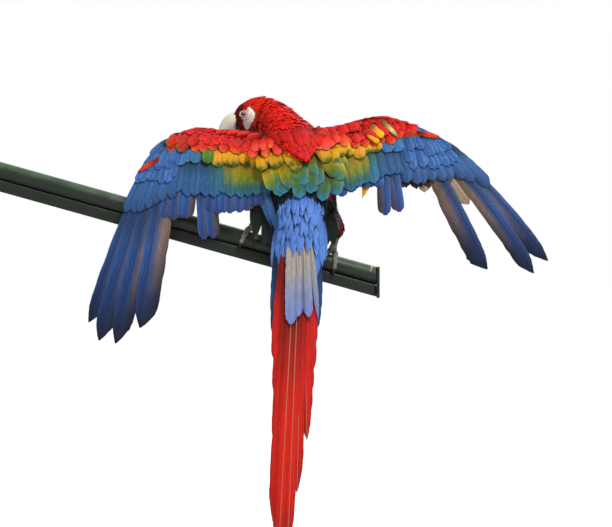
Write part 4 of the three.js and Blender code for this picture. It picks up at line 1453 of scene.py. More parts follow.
webs = [(26, 12), (21, 13), (20, 15), (20, 9)]
left.tier(Row((-211, 652), (-239, 655), (-8.5, -20.5), 4), LONG_VANE, [264, 295, 296, 272], webs,
          PRIMARY, 0, lean={0: -0.7, 1: -1.5, 2: -0.8}, bend=3, **HAND_QUILLS)
lengths = [72, 76, 82, 88, 92, 92, 90]
left.tier(Row((-198, 666), (-238, 656), (-8, -24), 7, 2), ROUND_VANE, lengths, (11, 8), HAND_GREAT, 3.4,
          uneven=0.04, stray=0.5, quill=0.6)
left.tier(Row((-194, 684), (-232, 667), (-10, -30), 9, 1), ROUND_VANE, 56, (8, 6.5), HAND_SMALL,
          uneven=0.14, **rooted(6.4))
left.tier(Row((-188, 694), (-223, 677), (-16, -42), 9, 1), ROUND_VANE, 42, (7, 6), HAND_SMALL,
          uneven=0.2, **rooted(9))
left.strays([(-206, 692, -48, BROAD_VANE, 44, (8, 8), HAND_SMALL, 10.4)])
left.single(-222, 662, -58, THIN_VANE, 44, (4.5, 4), RED_EDGE, 11.5)
left.tier(Row((-204, 670), (-236, 657), (-10, -22), 5), BROAD_VANE, 54, (9, 7), UNDERWING, -6, sink=-2)
left.plumage.piece("wing_feathers_left", FLIGHT_FEATHER, "wing_plumage",
                   ("wing_left_arm", "wing_left_hand"))

# %% Right wing
right = Flock(22, back_y)
lengths = [72, 72, 68, 62, 60, 60, 60, 106, 104, 58, 58]
right.tier(Row((64, 671), (163, 678), (-5, 4), 11), SQUARE_VANE, lengths, (13, 9), SECONDARY, 0,
           lean={7: -1, 8: 6}, uneven=0.03, stray=0.5, quill=0.7)
lengths = [68, 72, 72, 70, 67, 62, 62, 62, 62, 62]
right.tier(Row((60, 681), (166, 696), (6, 18), 10), ROUND_VANE, lengths, (13, 10), GREAT, 3.6, stray=0.8)
right.tier(Row((62, 698), (150, 710), (4, 40), 8), BROAD_VANE, 40, (11.5, 10), MIDDLE, stray=1.4,
           uneven=0.1, **rooted(6.8))
right.tier(Row((56, 698), (162, 713), (18, 60), 10, 2), BROAD_VANE, 32, (9, 8.5), LESSER_LOW,
           stray=2.4, uneven=0.14, **rooted(9))
right.tier(Row((54, 701), (158, 716), (34, 72), 11, 5), BROAD_VANE, 28, (7.5, 7), LESSER,
           stray=2.4, uneven=0.16, **rooted(10.6))
right.tier(Row((74, 690), (156, 699), (-4, 4), 9), BROAD_VANE, 50, (10, 8), UNDERWING, -8, sink=-2)
right.tier(Row((70, 704), (156, 714), (-4, 6), 10), BROAD_VANE, 38, (9, 7.5), UNDERWING, -10, sink=-2)
# painted shade under the right wing
right.tier(Row((158, 672), (206, 672), (4, 16), 6), BROAD_VANE, 58, (10, 9), PAINTED_SHADE_UNDERWING, -3)
right.single(99, 708, 50, ROUND_VANE, 36, (4.8, 4.5), GOLD, 13, sink=8)
right.single(110, 716, 47, ROUND_VANE, 32, (6, 6), GOLD, 13.6, sink=8)
beside_neck = [(12, 702, 90), (29, 703, 92), (44, 704, 97), (60, 707, 99)]
right.strays([
    (84, 714, 62, ROUND_VANE, 44, (7, 7), LESSER, 13.2),
    *[(*place, BROAD_VANE, 36, (7.5, 8.5), LESSER, 10) for place in beside_neck],
    (104, 719, 64, ROUND_VANE, 42, (7, 7), LESSER, 13.6),
])
right.single(130, 722, 45, POINTED_VANE, 38, (4, 3.6), YELLOW_WITH_PAINTED_HIGHLIGHT, 14.4, sink=8)
right.single(118, 650, -20, THIN_VANE, 56, (8, 7), GOLD, -4)
right.single(127, 662, -5, BROAD_VANE, 40, (10, 9), GOLD, -3)

webs = [(25, 7.5), (16, 10), (17.5, 11), (19, 7.5)]
for lengths, bend in (([223, 0, 0, 0], 3.5), ([0, 0, 261, 256], 8)):
    right.tier(Row((196, 683), (222, 688), (27, 42), 4), LONG_VANE, lengths, webs, PRIMARY, 0,
               bend=bend, **HAND_QUILLS)
lengths = [66, 68, 68, 68, 70, 74, 80, 86]
right.tier(Row((168, 686), (219, 690), (4, 44), 8), ROUND_VANE, lengths, (11, 8.5), HAND_GREAT, 3.4,
           uneven=0.04, stray=0.5, quill=0.6)
right.single(224, 690, 46, LONG_VANE, 108, (10, 12), HAND_GREAT, 2.6)
right.single(204, 686, 33, LONG_VANE, 118, (14, 14), PALE_WEB, -2.4)
right.single(197, 654, 1, BROAD_VANE, 48, (9, 9), PALE_WEB, -4)
right.tier(Row((166, 701), (211, 693), (10, 46), 10, 1), ROUND_VANE, 54, (7.5, 6.5), HAND_SMALL,
           uneven=0.16, **rooted(6.4))
right.tier(Row((166, 710), (204, 700), (20, 56), 9, 1), ROUND_VANE, 43, (7, 6), HAND_SMALL,
           uneven=0.2, **rooted(9))
right.single(184, 703, 77, THIN_VANE, 42, (4.5, 4), RED_EDGE, 11.5)
right.tier(Row((180, 694), (212, 690), (14, 40), 5), BROAD_VANE, 48, (9, 8), UNDERWING, -6, sink=-2)
right.plumage.piece("wing_feathers_right", FLIGHT_FEATHER, "wing_plumage",
                    ("wing_right_arm", "wing_right_hand"))

# %% [markdown]
# ## Shoulders and mantle
# The long scapulars bridge the back and the wings. They are the largest feathers there, yellow at the
# root and green to teal at the round tip, some with a green eye and a bright yellow edge, and none of
# them lies quite like the next. The red mantle hangs over them in a point. They lie on a sheet of
# their own that lifts off the back towards the sides, so they cover the first feathers of each wing.

# %% Scapulars and mantle
TEAL = {"inner": "98840c 5c7414@40 2c6440@70 34789c", "edge": "a09010 4488a4"}
OLIVE = {"inner": "d08c06 a88c08@45 587818@75 2c6c68",
         "edge": "f0b008 d8a808@60 3c7c80"}
EYED = {"inner": "e07408 e89c06@50 c89408@80 4c741c", "spot": "34602c",
        "edge": "f0a008 a89010"}
EMBER = {"inner": "b41408 e83010@50 f05c14@85 e8980c"}
# The pink at the tips of these red scapulars and along the edges of the mantle's point is a painted sheen on
# red feathers.
RED_WITH_PAINTED_SHEEN = {"inner": "a0100e dc2820@50 f44a40@85 f0503c"}
CAPE = {"inner": "a80c0a c8140c@50 d8180c", "edge": "b41410 dc3034@60 f0504c"}

# root x and z, heading, length, webs, colouring, height over the sheet
SCAPULARS = [
    (-40, 651, 6, 54, 13, TEAL, 0), (-24, 654, 4, 54, 13, TEAL, 0.8), (-5, 654, 4, 58, 13, TEAL, 0.4),
    (19, 659, 3, 60, 15, TEAL, 1.4), (52, 651, 5, 48, 12, TEAL, 0), (45, 646, -8, 56, 12, TEAL, -1),
    (-54, 662, 12, 52, 13, OLIVE, 2.2), (-35, 667, 12, 56, 12, OLIVE, 3.2),
    (-16, 667, 6, 56, 12, OLIVE, 2.6), (6, 668, 8, 50, 12, TEAL, 2.0), (29, 676, 29, 52, 14, OLIVE, 3.6),
    (48, 675, 18, 46, 13, OLIVE, 3.0),
    (-61, 680, 8, 38, 11, EYED, 5.2), (-46, 682, 14, 38, 11, EYED, 5.8), (-30, 690, 24, 52, 12, EYED, 5.4),
    (-13, 684, 10, 46, 11, EYED, 4.8), (26, 692, 32, 44, 12, EYED, 6.2), (45, 692, 22, 38, 12, EYED, 5.6),
    (60, 694, 14, 34, 11, EYED, 5.2),
    (-70, 692, -6, 30, 10, RED_WITH_PAINTED_SHEEN, 7.6), (-56, 694, 8, 30, 10, EMBER, 7.8), (-42, 698, 16, 34, 10, RED_WITH_PAINTED_SHEEN, 8.4),
    (-30, 702, 26, 38, 11, EMBER, 8.2), (-16, 698, 30, 34, 10, RED_WITH_PAINTED_SHEEN, 7.6),
    (22, 704, 26, 36, 11, RED_WITH_PAINTED_SHEEN, 8.6), (38, 707, 26, 36, 10, RED_WITH_PAINTED_SHEEN, 8.8), (54, 705, 30, 32, 10, EMBER, 8.4),
    (-66, 699, -20, 26, 8, RED_WITH_PAINTED_SHEEN, 9.6), (-52, 701, -8, 27, 8, RED_WITH_PAINTED_SHEEN, 9.8), (26, 703, 34, 34, 9, RED_WITH_PAINTED_SHEEN, 10.4),
    (43, 704, 44, 32, 8, RED_WITH_PAINTED_SHEEN, 10.4),
]
# first root, last root, first and last heading, count, length, height
CAPE_ROWS = [
    ((-12, 679), (15, 684), (40, -6), 4, 29, 11.6), ((-28, 687), (20, 694), (46, -8), 6, 34, 12.8),
    ((-42, 697), (25, 704), (50, -6), 8, 35, 14.0), ((-54, 706), (28, 713), (54, 0), 10, 35, 15.2),
]
shoulder = Flock(23, shoulder_y)
loose = np.random.default_rng(7)


def shifted(feather):
    """A second feather that fills the gap under a scapular."""
    x, z, heading, length, web, palette, lift = feather
    return x + 7, z + 4, heading + 5, length * 0.86, web * 0.8, palette, lift - 0.9


def has_second(feather):
    x, lift = feather[0], feather[-1]
    return lift < 7 or (-60 < x < 0 and lift < 9)


between = [shifted(feather) for feather in SCAPULARS if has_second(feather)]
for x, z, heading, length, web, palette, lift in between + SCAPULARS:
    vane = ROUND_VANE if length > 40 else BROAD_VANE
    x, z = x + loose.uniform(-3, 3), z + loose.uniform(-3, 3)
    heading = heading + loose.uniform(-7, 7)
    length, web = length * loose.uniform(0.9, 1.1), web * loose.uniform(0.78, 0.98)
    lift = lift + loose.uniform(-0.5, 0.5)
    depth = lift + back_y(x, z) - shoulder_y(x, z) + 2
    # How far up each scapular the painted shade at its root reaches; the red ones are darkened less.
    shade = (0.0, 0.5) if palette in (RED_WITH_PAINTED_SHEEN, EMBER) else (0.3, 0.62)
    shoulder.single(x, z, heading, vane, length, (web, web * 0.9), palette, lift, sink=depth,
                    emerge=0.5, camber=1.4, step=1.2, dusk=shade)
for start, end, turn, count, length, lift in CAPE_ROWS:
    shoulder.tier(Row(start, end, turn, count), POINTED_VANE, length, (6.5, 6), CAPE, lift,
                  sheet=back_y, stray=2, uneven=0.12, sink=lift + 6, emerge=0.6, camber=1.2,
                  dusk=(-0.5, 0.3))
shoulder.plumage.piece("shoulder_feathers", SOFT_FEATHER, "red_plumage")

# %% [markdown]
# ## Tail
# The tail is a stack: the two middle feathers are the longest and lie on top, and each pair outside
# them is shorter and lower. They are scarlet with pale quills, the outermost blue. Soft azure coverts
# from the rump and long grey-blue ones fall over their roots.

# %% Tail
TAIL_RED = {
    "inner": "a81408 d01e0a@30 cc1a08@80 a01208",
    "edge": "a01408 b81808@50 a01008",
    "under": "7c1c12 8c2a18@60 701c14",
}
TAIL_GREY = {
    "inner": "b49880 9c9894@40 7c88a8@70 6c80bc",
    "edge": "98948c 8890a4@50 7088c8",
}
TAIL_BLUE = {"inner": "2c5498 3c6cc0@60 5084dc"}
AZURE = {"inner": "446cb4 527cc8@50 5c86d4", "edge": "4c74bc 7c9ce4"}
SIDE_BLUE = {"inner": "1c3c6c 244a78@50 1c3c68"}
PAINTED_SHADE_FEATHERS = {"inner": "05080a 0c1716@60 14241c"}
# row, lengths, webs, height
TAIL_ROWS = [
    (Row((-7, 531), (-24, 525), (-3.0, -4.2), 6), [496, 490, 440, 330, 250, 190], (12, 10), 2 * STEP),
    (Row((0, 531), (4, 531), (-2.7, -1.6), 2), [484, 396], (12, 9.5), 0.6 * STEP),
    (Row((4, 531), (17, 525), (0.9, 1.3), 5), [314, 286, 248, 206, 166], (12, 8), -0.6 * STEP),
]
tail = Flock(24, tail_y)
for row, lengths, webs, over in TAIL_ROWS:
    tail.tier(row, LONG_VANE, lengths, webs, TAIL_RED, over, uneven=0, stray=0.1, thick=0.8, step=STEP,
              quill=1.0, camber=1.1, shaft="b88c6c")
tail.single(-32, 534, -0.5, LONG_VANE, 172, (9, 11), SIDE_BLUE, -2 * STEP, thick=0.8, bend=3)
tail.single(24, 534, -1.5, LONG_VANE, 152, (9, 10), SIDE_BLUE, -2.6 * STEP, thick=0.8, bend=4)
tail.plumage.piece("tail_feathers", TAIL_FEATHER, "tail_plumage", ("tail",))

# %% [markdown]
# ## Tail coverts
# Soft feathers close the gap between the back and the tail, so that wind passes over it: long
# grey-blue straps over the roots of the quills, short blue ones below them, and a dome of narrow azure
# tongues down the rump. They could be scattered like the coat, but here each row shows, so they are
# laid in rows, the long ones on the tail's own sheet and the tongues on the back's.

# %% Tail coverts
AZURE_SHAPE = {"sheet": back_y, "emerge": 0.7, "camber": 1.2, "dusk": (-0.6, 0.3)}
coverts = Flock(25, tail_y)
# x, heading, length, webs, vane, height
STRAPS = [
    (8, 3, 123, (9, 7), STRAP_VANE, 7), (15, 6.4, 131, (5, 5), POINTED_VANE, 6),
    (-2, -0.5, 122, (9, 8), STRAP_VANE, 8.2), (-13, -0.4, 134, (11, 10), STRAP_VANE, 9.4),
]
for x, heading, length, webs, vane, over in STRAPS:
    coverts.single(x, 532, heading, vane, length, webs, TAIL_GREY, over, quill=0.6, dusk=(-0.5, 0.2))
for way, lengths in ((-1, [80, 70, 62, 54]), (1, [76, 66, 58, 52])):
    row = Row((-4 + way * 3, 531), (-4 + way * 18, 531), (-2.2 + way * 0.2, -2.2 + way * 8), 4)
    coverts.tier(row, BROAD_VANE, lengths, (9, 9), TAIL_BLUE, -11, sink=-3)
# level, half width, count, length, web, height
DOME = [
    (552, 30, 8, 84, 5.5, 3.0), (560, 36, 12, 60, 5.2, 4.2), (569, 33, 12, 46, 4.6, 5.2),
    (578, 33, 12, 38, 4.4, 6.0), (588, 27, 10, 34, 4.2, 6.8), (598, 17, 7, 32, 4.0, 7.6),
]
for level, half, count, length, web, lift in DOME:
    row = Row((1 - half, level), (1 + half, level), (-3, 1), count, 5)
    coverts.tier(row, POINTED_VANE, length, (web, web), AZURE, lift, stray=1.3, uneven=0.25,
                 sink=lift + 6, **AZURE_SHAPE)
for x, z, heading, length in ((-32, 560, -9, 78), (-24, 556, -7, 70), (32, 556, 2, 66)):
    coverts.single(x, z, heading, POINTED_VANE, length, (7, 7), AZURE, 3.4, sink=9, **AZURE_SHAPE)
# Near-black tufts beside the rump and under the wings stand for the shade there: painted shade.
PAINTED_SHADE_TUFTS = [
    (44, 578, -2, 60), (37, 570, -4, 62), (50, 572, 4, 52), (-50, 584, -6, 66), (-62, 592, -10, 60),
    (-44, 574, -2, 58), (-70, 600, -4, 56),
]
for x, z, heading, length in PAINTED_SHADE_TUFTS:
    coverts.single(x, z, heading, POINTED_VANE, length, (8, 8), PAINTED_SHADE_FEATHERS, -9, sheet=back_y, sink=-8)
coverts.plumage.piece("tail_coverts", SOFT_FEATHER, "tail_plumage")

# %% [markdown]
# ## Skin finish
# Where feathers part, the skin between them must not shine through as a pale spot, so it carries the
# colours of the coat above it, darkened as painted shade in the gaps. The cheek is the only place where
# it is seen: creamy white, a little pink, and finely wrinkled. Colours come with the vertices, because
# the regions of the coat are already known there, and the wrinkles are a bump.

# %% Skin
skin_points = coordinates(skin)
skin_regions = region_of(skin_points, normals_of(skin))
# The feathered skin takes its region's colour darkened, and the skin under the wing rows a dark red: painted
# shade in the gaps between feathers.
skin_colours = {name: paint(fade(row[4])[1][1]) * (0.45, 0.45, 0.45, 1) for name, row in REGIONS.items()}
skin_colours.update(bare=paint("fbf1e6"), covered=paint("5c1410"))
tints = np.array([skin_colours[name] for name in skin_regions])
bare_share = bareness(skin_points)
forward, left_of, up_of = head_measures(skin_points)
around_eye = np.hypot(forward - EYE["forward"], up_of - EYE["up"])
pink = (np.exp(-((around_eye - 8) / 4.0) ** 2) * 0.6 + 0.1 * (1 + drift(skin_points, 9, 3))) * bare_share
tints = mix(tints, paint("c48e86"), np.clip(pink, 0, 0.7)[:, None])
colour_vertices(skin, tints)
mark_vertices(skin, "bare", bare_share)

skin_finish, tree, shader = new_material("bird_skin", Roughness=0.6)
place = own_place(tree)
wrinkle = noise(tree, place, 900.0, 4.0)
mottle = reckon(tree, "MULTIPLY_ADD", noise(tree, place, 260.0, 3.0), 0.3, 0.85)
feed(tree, scaled(tree, stored(tree, "tint", "Color"), mottle), shader.inputs["Base Color"])
set_relief(tree, shader, reckon(tree, "MULTIPLY", wrinkle, stored(tree, "bare")), 0.5, 0.3)
finish_piece(skin, skin_finish, ("head", "neck", "torso", "thigh_left", "thigh_right"),
             angle=60)

# %% [markdown]
# ## Face feathers
# Rows of feathers as small as eyelashes cross the bare cheek below the eye. They are the smallest on
# the bird. Each is a model vane of three rows, laid on the skin like all others.

# %% Lines of tiny feathers
# length, half width and tip height, and how far the lines are from the middle of the eye
TINY = (2.6, 0.42, 0.55)
LINES = (11.5, 15.0, 18.5, 22.0, 25.5)
face_lines = Plumage()
line_random = np.random.default_rng(31)
for side in (1, -1):
    for reach in LINES:
        angles = np.radians(np.arange(-170, 35, 160 / reach))
        places_f = EYE["forward"] + reach * np.cos(angles)
        places_u = EYE["up"] + reach * np.sin(angles)
        inside = face_depth(places_f, places_u) > 2.2
        if not inside.any():
            continue
        aim = np.array([on_head(f, side * 30, u) for f, u in zip(places_f[inside], places_u[inside])])
        spots, above, index = ground.nearest(aim)
        astray = 0.15 * line_random.standard_normal((len(spots), 3))
        lie = unit(-HEAD_FORWARD - 0.4 * (HEAD_TURN @ (0, 0, 1)) + astray)
        lie = unit(lie - above * (lie * above).sum(1, keepdims=True))
        sizes = np.array([TINY]) * line_random.uniform(0.8, 1.2, (len(spots), 1))
        tints = feather_tints(TUFT_VANE, "5c2020 7c2c28", len(spots), line_random)
        lay_on_skin(face_lines, TUFT_VANE, spots, index, lie, sizes, np.zeros(len(spots)), tints)
face_lines.piece("face_lines", SOFT_FEATHER, "red_plumage")

# %% [markdown]
# ## Eyes and lids
# A macaw's eye is a dark pupil in a pale yellow iris, under a wet, clear surface. The ball sits deep in
# its socket and a thick bare lid rings it. The ball is a sphere with its front pushed out into a
# cornea, and the colours read how far each point is from the middle of the pupil, so they stay round.

# %% Eye finish
IRIS = fade("050404 0a0706@31 4a3a20@35 948250@42 a49464@60 5c4a2c@70 17110c@76 100c0a")
eye_finish, tree, shader = new_material("eye", Roughness=0.25, Coat_Weight=1.0, Coat_Roughness=0.03)
rays = noise(tree, own_place(tree), 1500.0, 2.0)
uneven = reckon(tree, "MULTIPLY_ADD", rays, 0.05, stored(tree, "ring"))
feed(tree, ramp(tree, uneven, IRIS), shader.inputs["Base Color"])

lid_finish, tree, shader = new_material("eyelid", Roughness=0.55)
grain = noise(tree, own_place(tree), 1400.0, 3.0)
feed(tree, blend(tree, grain, paint("8c6a62"), paint("e6cfc4")), shader.inputs["Base Color"])
set_relief(tree, shader, grain, 0.6, 0.2)

# %% Eyes and lids
CORNEA = 0.7
LID = {"radius": 5.2, "thick": 1.35, "out": 1.9, "wave": 0.5, "folds": 17}
for name, side in (("left", 1), ("right", -1)):
    outward = HEAD_SIDE * side
    centre = on_head(EYE["forward"], side * (EYE["side"] - 1.3), EYE["up"])
    ball = added(f"eyeball_{name}", bpy.ops.mesh.primitive_uv_sphere_add, segments=48, ring_count=32,
                 radius=EYE["radius"] * MM)
    points = coordinates(ball)
    facing = points @ outward / EYE["radius"]
    points = points + outward * (CORNEA * smooth(0.7, 1.0, facing))[:, None] + centre
    move_vertices(ball, points)
    mark_vertices(ball, "ring", np.degrees(np.arccos(np.clip(facing, -1, 1))) / 90)
    finish_piece(ball, eye_finish, (f"eye_{name}",))

    lid = added(f"eyelid_{name}", bpy.ops.mesh.primitive_torus_add, major_segments=56,
                minor_segments=14, major_radius=LID["radius"] * MM, minor_radius=LID["thick"] * MM)
    flat = coordinates(lid)
    angle = np.arctan2(flat[:, 1], flat[:, 0])
    forth, upward = flat[:, 0] * 1.05, flat[:, 1] * 0.9
    out = flat[:, 2] + LID["wave"] * np.cos(2 * angle) + 0.16 * np.sin(LID["folds"] * angle)
    own = (-side * (EYE["side"] + LID["out"] + out), EYE["forward"] + forth, EYE["up"] + upward)
    move_vertices(lid, np.stack(own, -1) @ HEAD_TURN.T + HEAD["centre"])
    with opened(lid):
        bpy.ops.mesh.normals_make_consistent(inside=False)
    finish_piece(lid, lid_finish, (), angle=60)

# %% [markdown]
# ## The bill
# The upper bill is a deep hook of pale horn, black along its lower base and at its tip, with a flat
# side and a rounded ridge. The lower bill is a short black scoop. Both are extruded rings, and a
# nostril is bored into each side of the upper one. The horn grows in layers, so it has fine lines
# across it and a satin gloss.

# %% Horn finish
def horn_finish(name, roughness, coat):
    material, tree, shader = new_material(name, Roughness=roughness, Coat_Weight=coat, Coat_Roughness=0.25)
    cloud = noise(tree, own_place(tree), 120.0, 5.0)
    wavy = reckon(tree, "MULTIPLY_ADD", cloud, 2.4, stored(tree, "growth"))
    lines = add_node(tree, "TexNoise", noise_dimensions="1D", in_W=wavy, in_Scale=0.9,
                     in_Detail=4.0).outputs[0]
    both = reckon(tree, "ADD", reckon(tree, "MULTIPLY", cloud, 0.25), lines)
    shade = reckon(tree, "MULTIPLY_ADD", both, 0.35, 0.78)
    feed(tree, scaled(tree, stored(tree, "tint", "Color"), shade), shader.inputs["Base Color"])
    set_relief(tree, shader, lines, 0.35, 0.3)
    return material


HORN = horn_finish("pale_horn", roughness=0.38, coat=0.15)
BLACK_HORN = horn_finish("black_horn", roughness=0.42, coat=0.2)
print("finishes", HORN.name, "and", BLACK_HORN.name)

# %% Upper bill
NOSTRIL = {"forward": 33.6, "side": 9, "up": 12.6, "radius": 1.7}
upper_bill = limb("upper_bill", head_stations(UPPER_BILL), count=44, sides=40, across=HEAD_SIDE)
for side in (1, -1):
    middle = on_head(NOSTRIL["forward"], side * NOSTRIL["side"], NOSTRIL["up"])
    hole = added("nostril", bpy.ops.mesh.primitive_uv_sphere_add, segments=20, ring_count=12,
                 radius=NOSTRIL["radius"] * MM, location=middle * MM)
    apply_modifier(upper_bill, "BOOLEAN", object=hole, operation="DIFFERENCE", solver="EXACT")
    bpy.data.objects.remove(hole)
points = coordinates(upper_bill)
forward, left_of, up_of = head_measures(points)
ridge = np.abs(left_of) / 12
tooth = 0.9 * np.exp(-((forward - 47) / 3.0) ** 2) * smooth(-14, -19, up_of)
move_vertices(upper_bill, points - (HEAD_TURN @ (0, 0, 1)) * tooth[:, None])
base_black = smooth(36, 31, forward + 0.35 * up_of) * smooth(2, -3, up_of)
tip_black = smooth(-24, -33, up_of)
edge_black = 0.5 * smooth(-12, -17, up_of) * smooth(46, 40, forward)
dark = np.clip(base_black + tip_black + edge_black, 0, 1)[:, None]
warm = mix(paint("f2ead8"), paint("dccdae"), smooth(0.3, 1.1, ridge)[:, None] * 0.4)
colour_vertices(upper_bill, mix(warm, paint("141214"), dark))
mark_vertices(upper_bill, "growth", np.hypot(forward - 20, up_of + 34))
finish_piece(upper_bill, HORN, ("bill_upper",), angle=60)

# %% Lower bill
lower_bill = limb("lower_bill", head_stations(LOWER_BILL), count=26, sides=32, across=HEAD_SIDE)
colour_vertices(lower_bill, paint("1a1819"))
mark_vertices(lower_bill, "growth", head_measures(coordinates(lower_bill))[0])
finish_piece(lower_bill, BLACK_HORN, ("bill_lower",), angle=60)

# %% [markdown]
# ## Feet
# A parrot grips with two toes in front and two behind. The shank and the toes are covered with small
# grey scales, in rings over the joints, with paler skin between them. Each toe is a bent rod with a
# swelling at every joint; all are pressed into one foot and smoothed, and the claws stay apart.

# %% Foot finish
foot_finish, tree, shader = new_material("scaly_skin", Roughness=0.62)
place = own_place(tree)
seams = add_node(tree, "TexVoronoi", feature="DISTANCE_TO_EDGE", in_Vector=place,
                 in_Scale=620.0).outputs["Distance"]
scale = blend(tree, noise(tree, place, 140.0, 4.0), paint("2c2a29"), paint("77706a"))
whole = blend(tree, reckon(tree, "GREATER_THAN", seams, 0.07), paint("a79c90"), scale)
feed(tree, whole, shader.inputs["Base Color"])
set_relief(tree, shader, reckon(tree, "MINIMUM", seams, 0.2), 0.8, 0.5)

# %% Toes and claws
TOES = {
    "inner_front": {"from": 78, "to": 8, "step": (-5, -12), "radius": 4.6},
    "outer_front": {"from": 78, "to": -24, "step": (5, 9), "radius": 5.0},
    "outer_rear": {"from": 102, "to": 204, "step": (5, 11), "radius": 4.9},
    "hind": {"from": 102, "to": 166, "step": (-5, -11), "radius": 4.6},
}


def round_perch(x, angle, distance, step):
    """A place round the rail: angle from the front through the top, distance and step along it."""
    turn = radians(angle)
    middle = by_perch(x, 0, -PERCH["radius"]) + PERCH_ALONG * step
    return middle + np.array([0, distance * cos(turn), 0]) + PERCH_UP * (distance * sin(turn))


def toe_form(x, way, toe):
    stations = []
    for t in np.linspace(0, 1, 11):
        swell = 0.3 * cos(2 * pi * (2.5 * t - 0.5))
        thick = mix(toe["radius"], toe["radius"] * 0.72, t) + swell - 0.1
        step = way * mix(toe["step"][0], toe["step"][1], t)
        place = round_perch(x, mix(toe["from"], toe["to"], t), PERCH["radius"] + thick * 0.88, step)
        stations.append((*place, thick, thick))
    return limb("toe_form", stations, count=40, sides=20, across=PERCH_ALONG)


def claw_piece(name, x, way, toe):
    turn = copysign(1, toe["to"] - toe["from"])
    stations = []
    for t in (0, 0.2, 0.4, 0.6, 0.8, 1):
        angle = toe["to"] + turn * (1.2 + 40 * t)
        distance = PERCH["radius"] + toe["radius"] * 0.72 + 0.9 + 4.2 * t * (1 - t) + 0.6 * t
        thick = mix(2.9, 0.45, t ** 1.15)
        place = round_perch(x, angle, distance, way * (toe["step"][1] + 0.5 * t))
        stations.append((*place, thick * 0.8, thick))
    claw = limb(name, stations, count=22, sides=18, across=PERCH_ALONG)
    colour_vertices(claw, paint("1c1a1b"))
    mark_vertices(claw, "growth", coordinates(claw)[:, 2])
    return claw


for name, way in (("left", -1), ("right", 1)):
    x = FEET[name]
    heel, sole = HEELS[name], by_perch(x, -1, 5)
    shank = unit(sole - heel)
    start = heel - shank * 4
    middle = mix(start, sole, 0.55)
    tarsus = limb("tarsus_form", [(*start, 6.4, 6.4), (*middle, 5.4, 5.6), (*sole, 7.6, 6.8)], count=24,
                  sides=24)
    foot = joined(f"scaly_foot_{name}", [tarsus] + [toe_form(x, way, toe) for toe in TOES.values()])
    remesh(foot, voxel=0.8)
    soften(foot, factor=0.5, repeats=3)
    finish_piece(foot, foot_finish, (f"foot_{name}",), angle=60)
    for toe_name, toe in TOES.items():
        claw = claw_piece(f"horn_claw_{name}_{toe_name}", x, way, toe)
        finish_piece(claw, BLACK_HORN, (f"claw_{name}_{toe_name}",), angle=60)

# %% [markdown]
# ## The rail
# The bird sits on a length of painted steel tube over a flatter member, closed at the right by a black
# plate. Years out of doors have faded the green paint along its top, which is also lighter as painted
# light, and pale streaks run down from it. The undersides are near black and the flatter member is a
# darker copy of the paint: painted shade.
# The bars are primitives at full length, sawn off upright at both ends, with their edges broken.

# %% Weathered paint, with painted light and shade
def paint_with_wear_and_painted_light(name, top, side, under, streaks):
    """Paint lighter where it faces up, partly faded and partly painted light, near black where it faces down
    as painted shade, with pale streaks that run down.
    """
    material, tree, shader = new_material(name, Roughness=0.5)
    level = add_node(tree, "Mapping", in_Vector=own_place(tree), in_Rotation=(0, perch_turn, 0)).outputs[0]
    split = add_node(tree, "SeparateXYZ", in_0=level).outputs
    cloud = noise(tree, level, 34.0, 6.0)
    grain = noise(tree, level, 420.0, 4.0)
    facing = add_node(tree, "NewGeometry").outputs["Normal"]
    upward = add_node(tree, "SeparateXYZ", in_0=facing).outputs["Z"]
    # How far a place faces up sets its colour, broken by patches of faded paint: painted light on top and
    # painted shade underneath.
    wear_and_painted_light = reckon(tree, "MULTIPLY_ADD", reckon(tree, "SUBTRACT", cloud, 0.5), 0.9, upward)
    fading_and_painted_light = reckon(tree, "MULTIPLY_ADD", wear_and_painted_light, 0.5, 0.5)
    coats = ramp(tree, fading_and_painted_light, [(0.15, under), (0.62, side), (0.98, top)])
    lane = add_node(tree, "CombineXYZ", in_X=split["X"], in_Z=reckon(tree, "MULTIPLY", split["Z"], 0.12))
    high = reckon(tree, "MULTIPLY_ADD", upward, 0.1, noise(tree, lane.outputs[0], 70.0, 3.0))
    chalk = add_node(tree, "MapRange", interpolation_type="SMOOTHSTEP", in_Value=high, in_From_Min=0.7,
                     in_From_Max=0.78).outputs[0]
    masked = reckon(tree, "MULTIPLY", chalk, reckon(tree, "MULTIPLY", grain, streaks))
    feed(tree, blend(tree, masked, coats, paint("b9bda0")), shader.inputs["Base Color"])
    feed(tree, reckon(tree, "MULTIPLY_ADD", cloud, 0.35, 0.32), shader.inputs["Roughness"])
    set_relief(tree, shader, grain, 0.3, 0.4)
    return material


# Top, side and underside colours: the lighter top and the near-black underside are painted light and shade.
GREEN_PAINT = paint_with_wear_and_painted_light("rail_green", "546c54", "182c14", "060a06", streaks=1.7)
# The rail under the tube gets a darker copy of the tube's paint, as painted shade.
PAINTED_SHADE_GREEN_PAINT = paint_with_wear_and_painted_light("rail_green_painted_shade", "344a2e", "101d0e", "050905", streaks=0.9)
BLACK_PAINT = paint_with_wear_and_painted_light("cap_black", "26282a", "101213", "070808", streaks=0.3)


# %% Tube, rail and end plate
def saw(piece, place, normal, keep_beyond):
    """Cuts a bar off along a plane and closes the cut."""
    with opened(piece):
        bpy.ops.mesh.bisect(plane_co=place, plane_no=normal, use_fill=True, clear_inner=keep_beyond,
                            clear_outer=not keep_beyond)


def saw_to_perch(piece):
    """Cuts both ends of a bar off upright, at the two ends of the perch."""
    saw(piece, (PERCH["left"] * MM, 0, 0), (1, 0, 0), True)
    saw(piece, (PERCH["right"] * MM, 0, 0), (1, 0, 0), False)


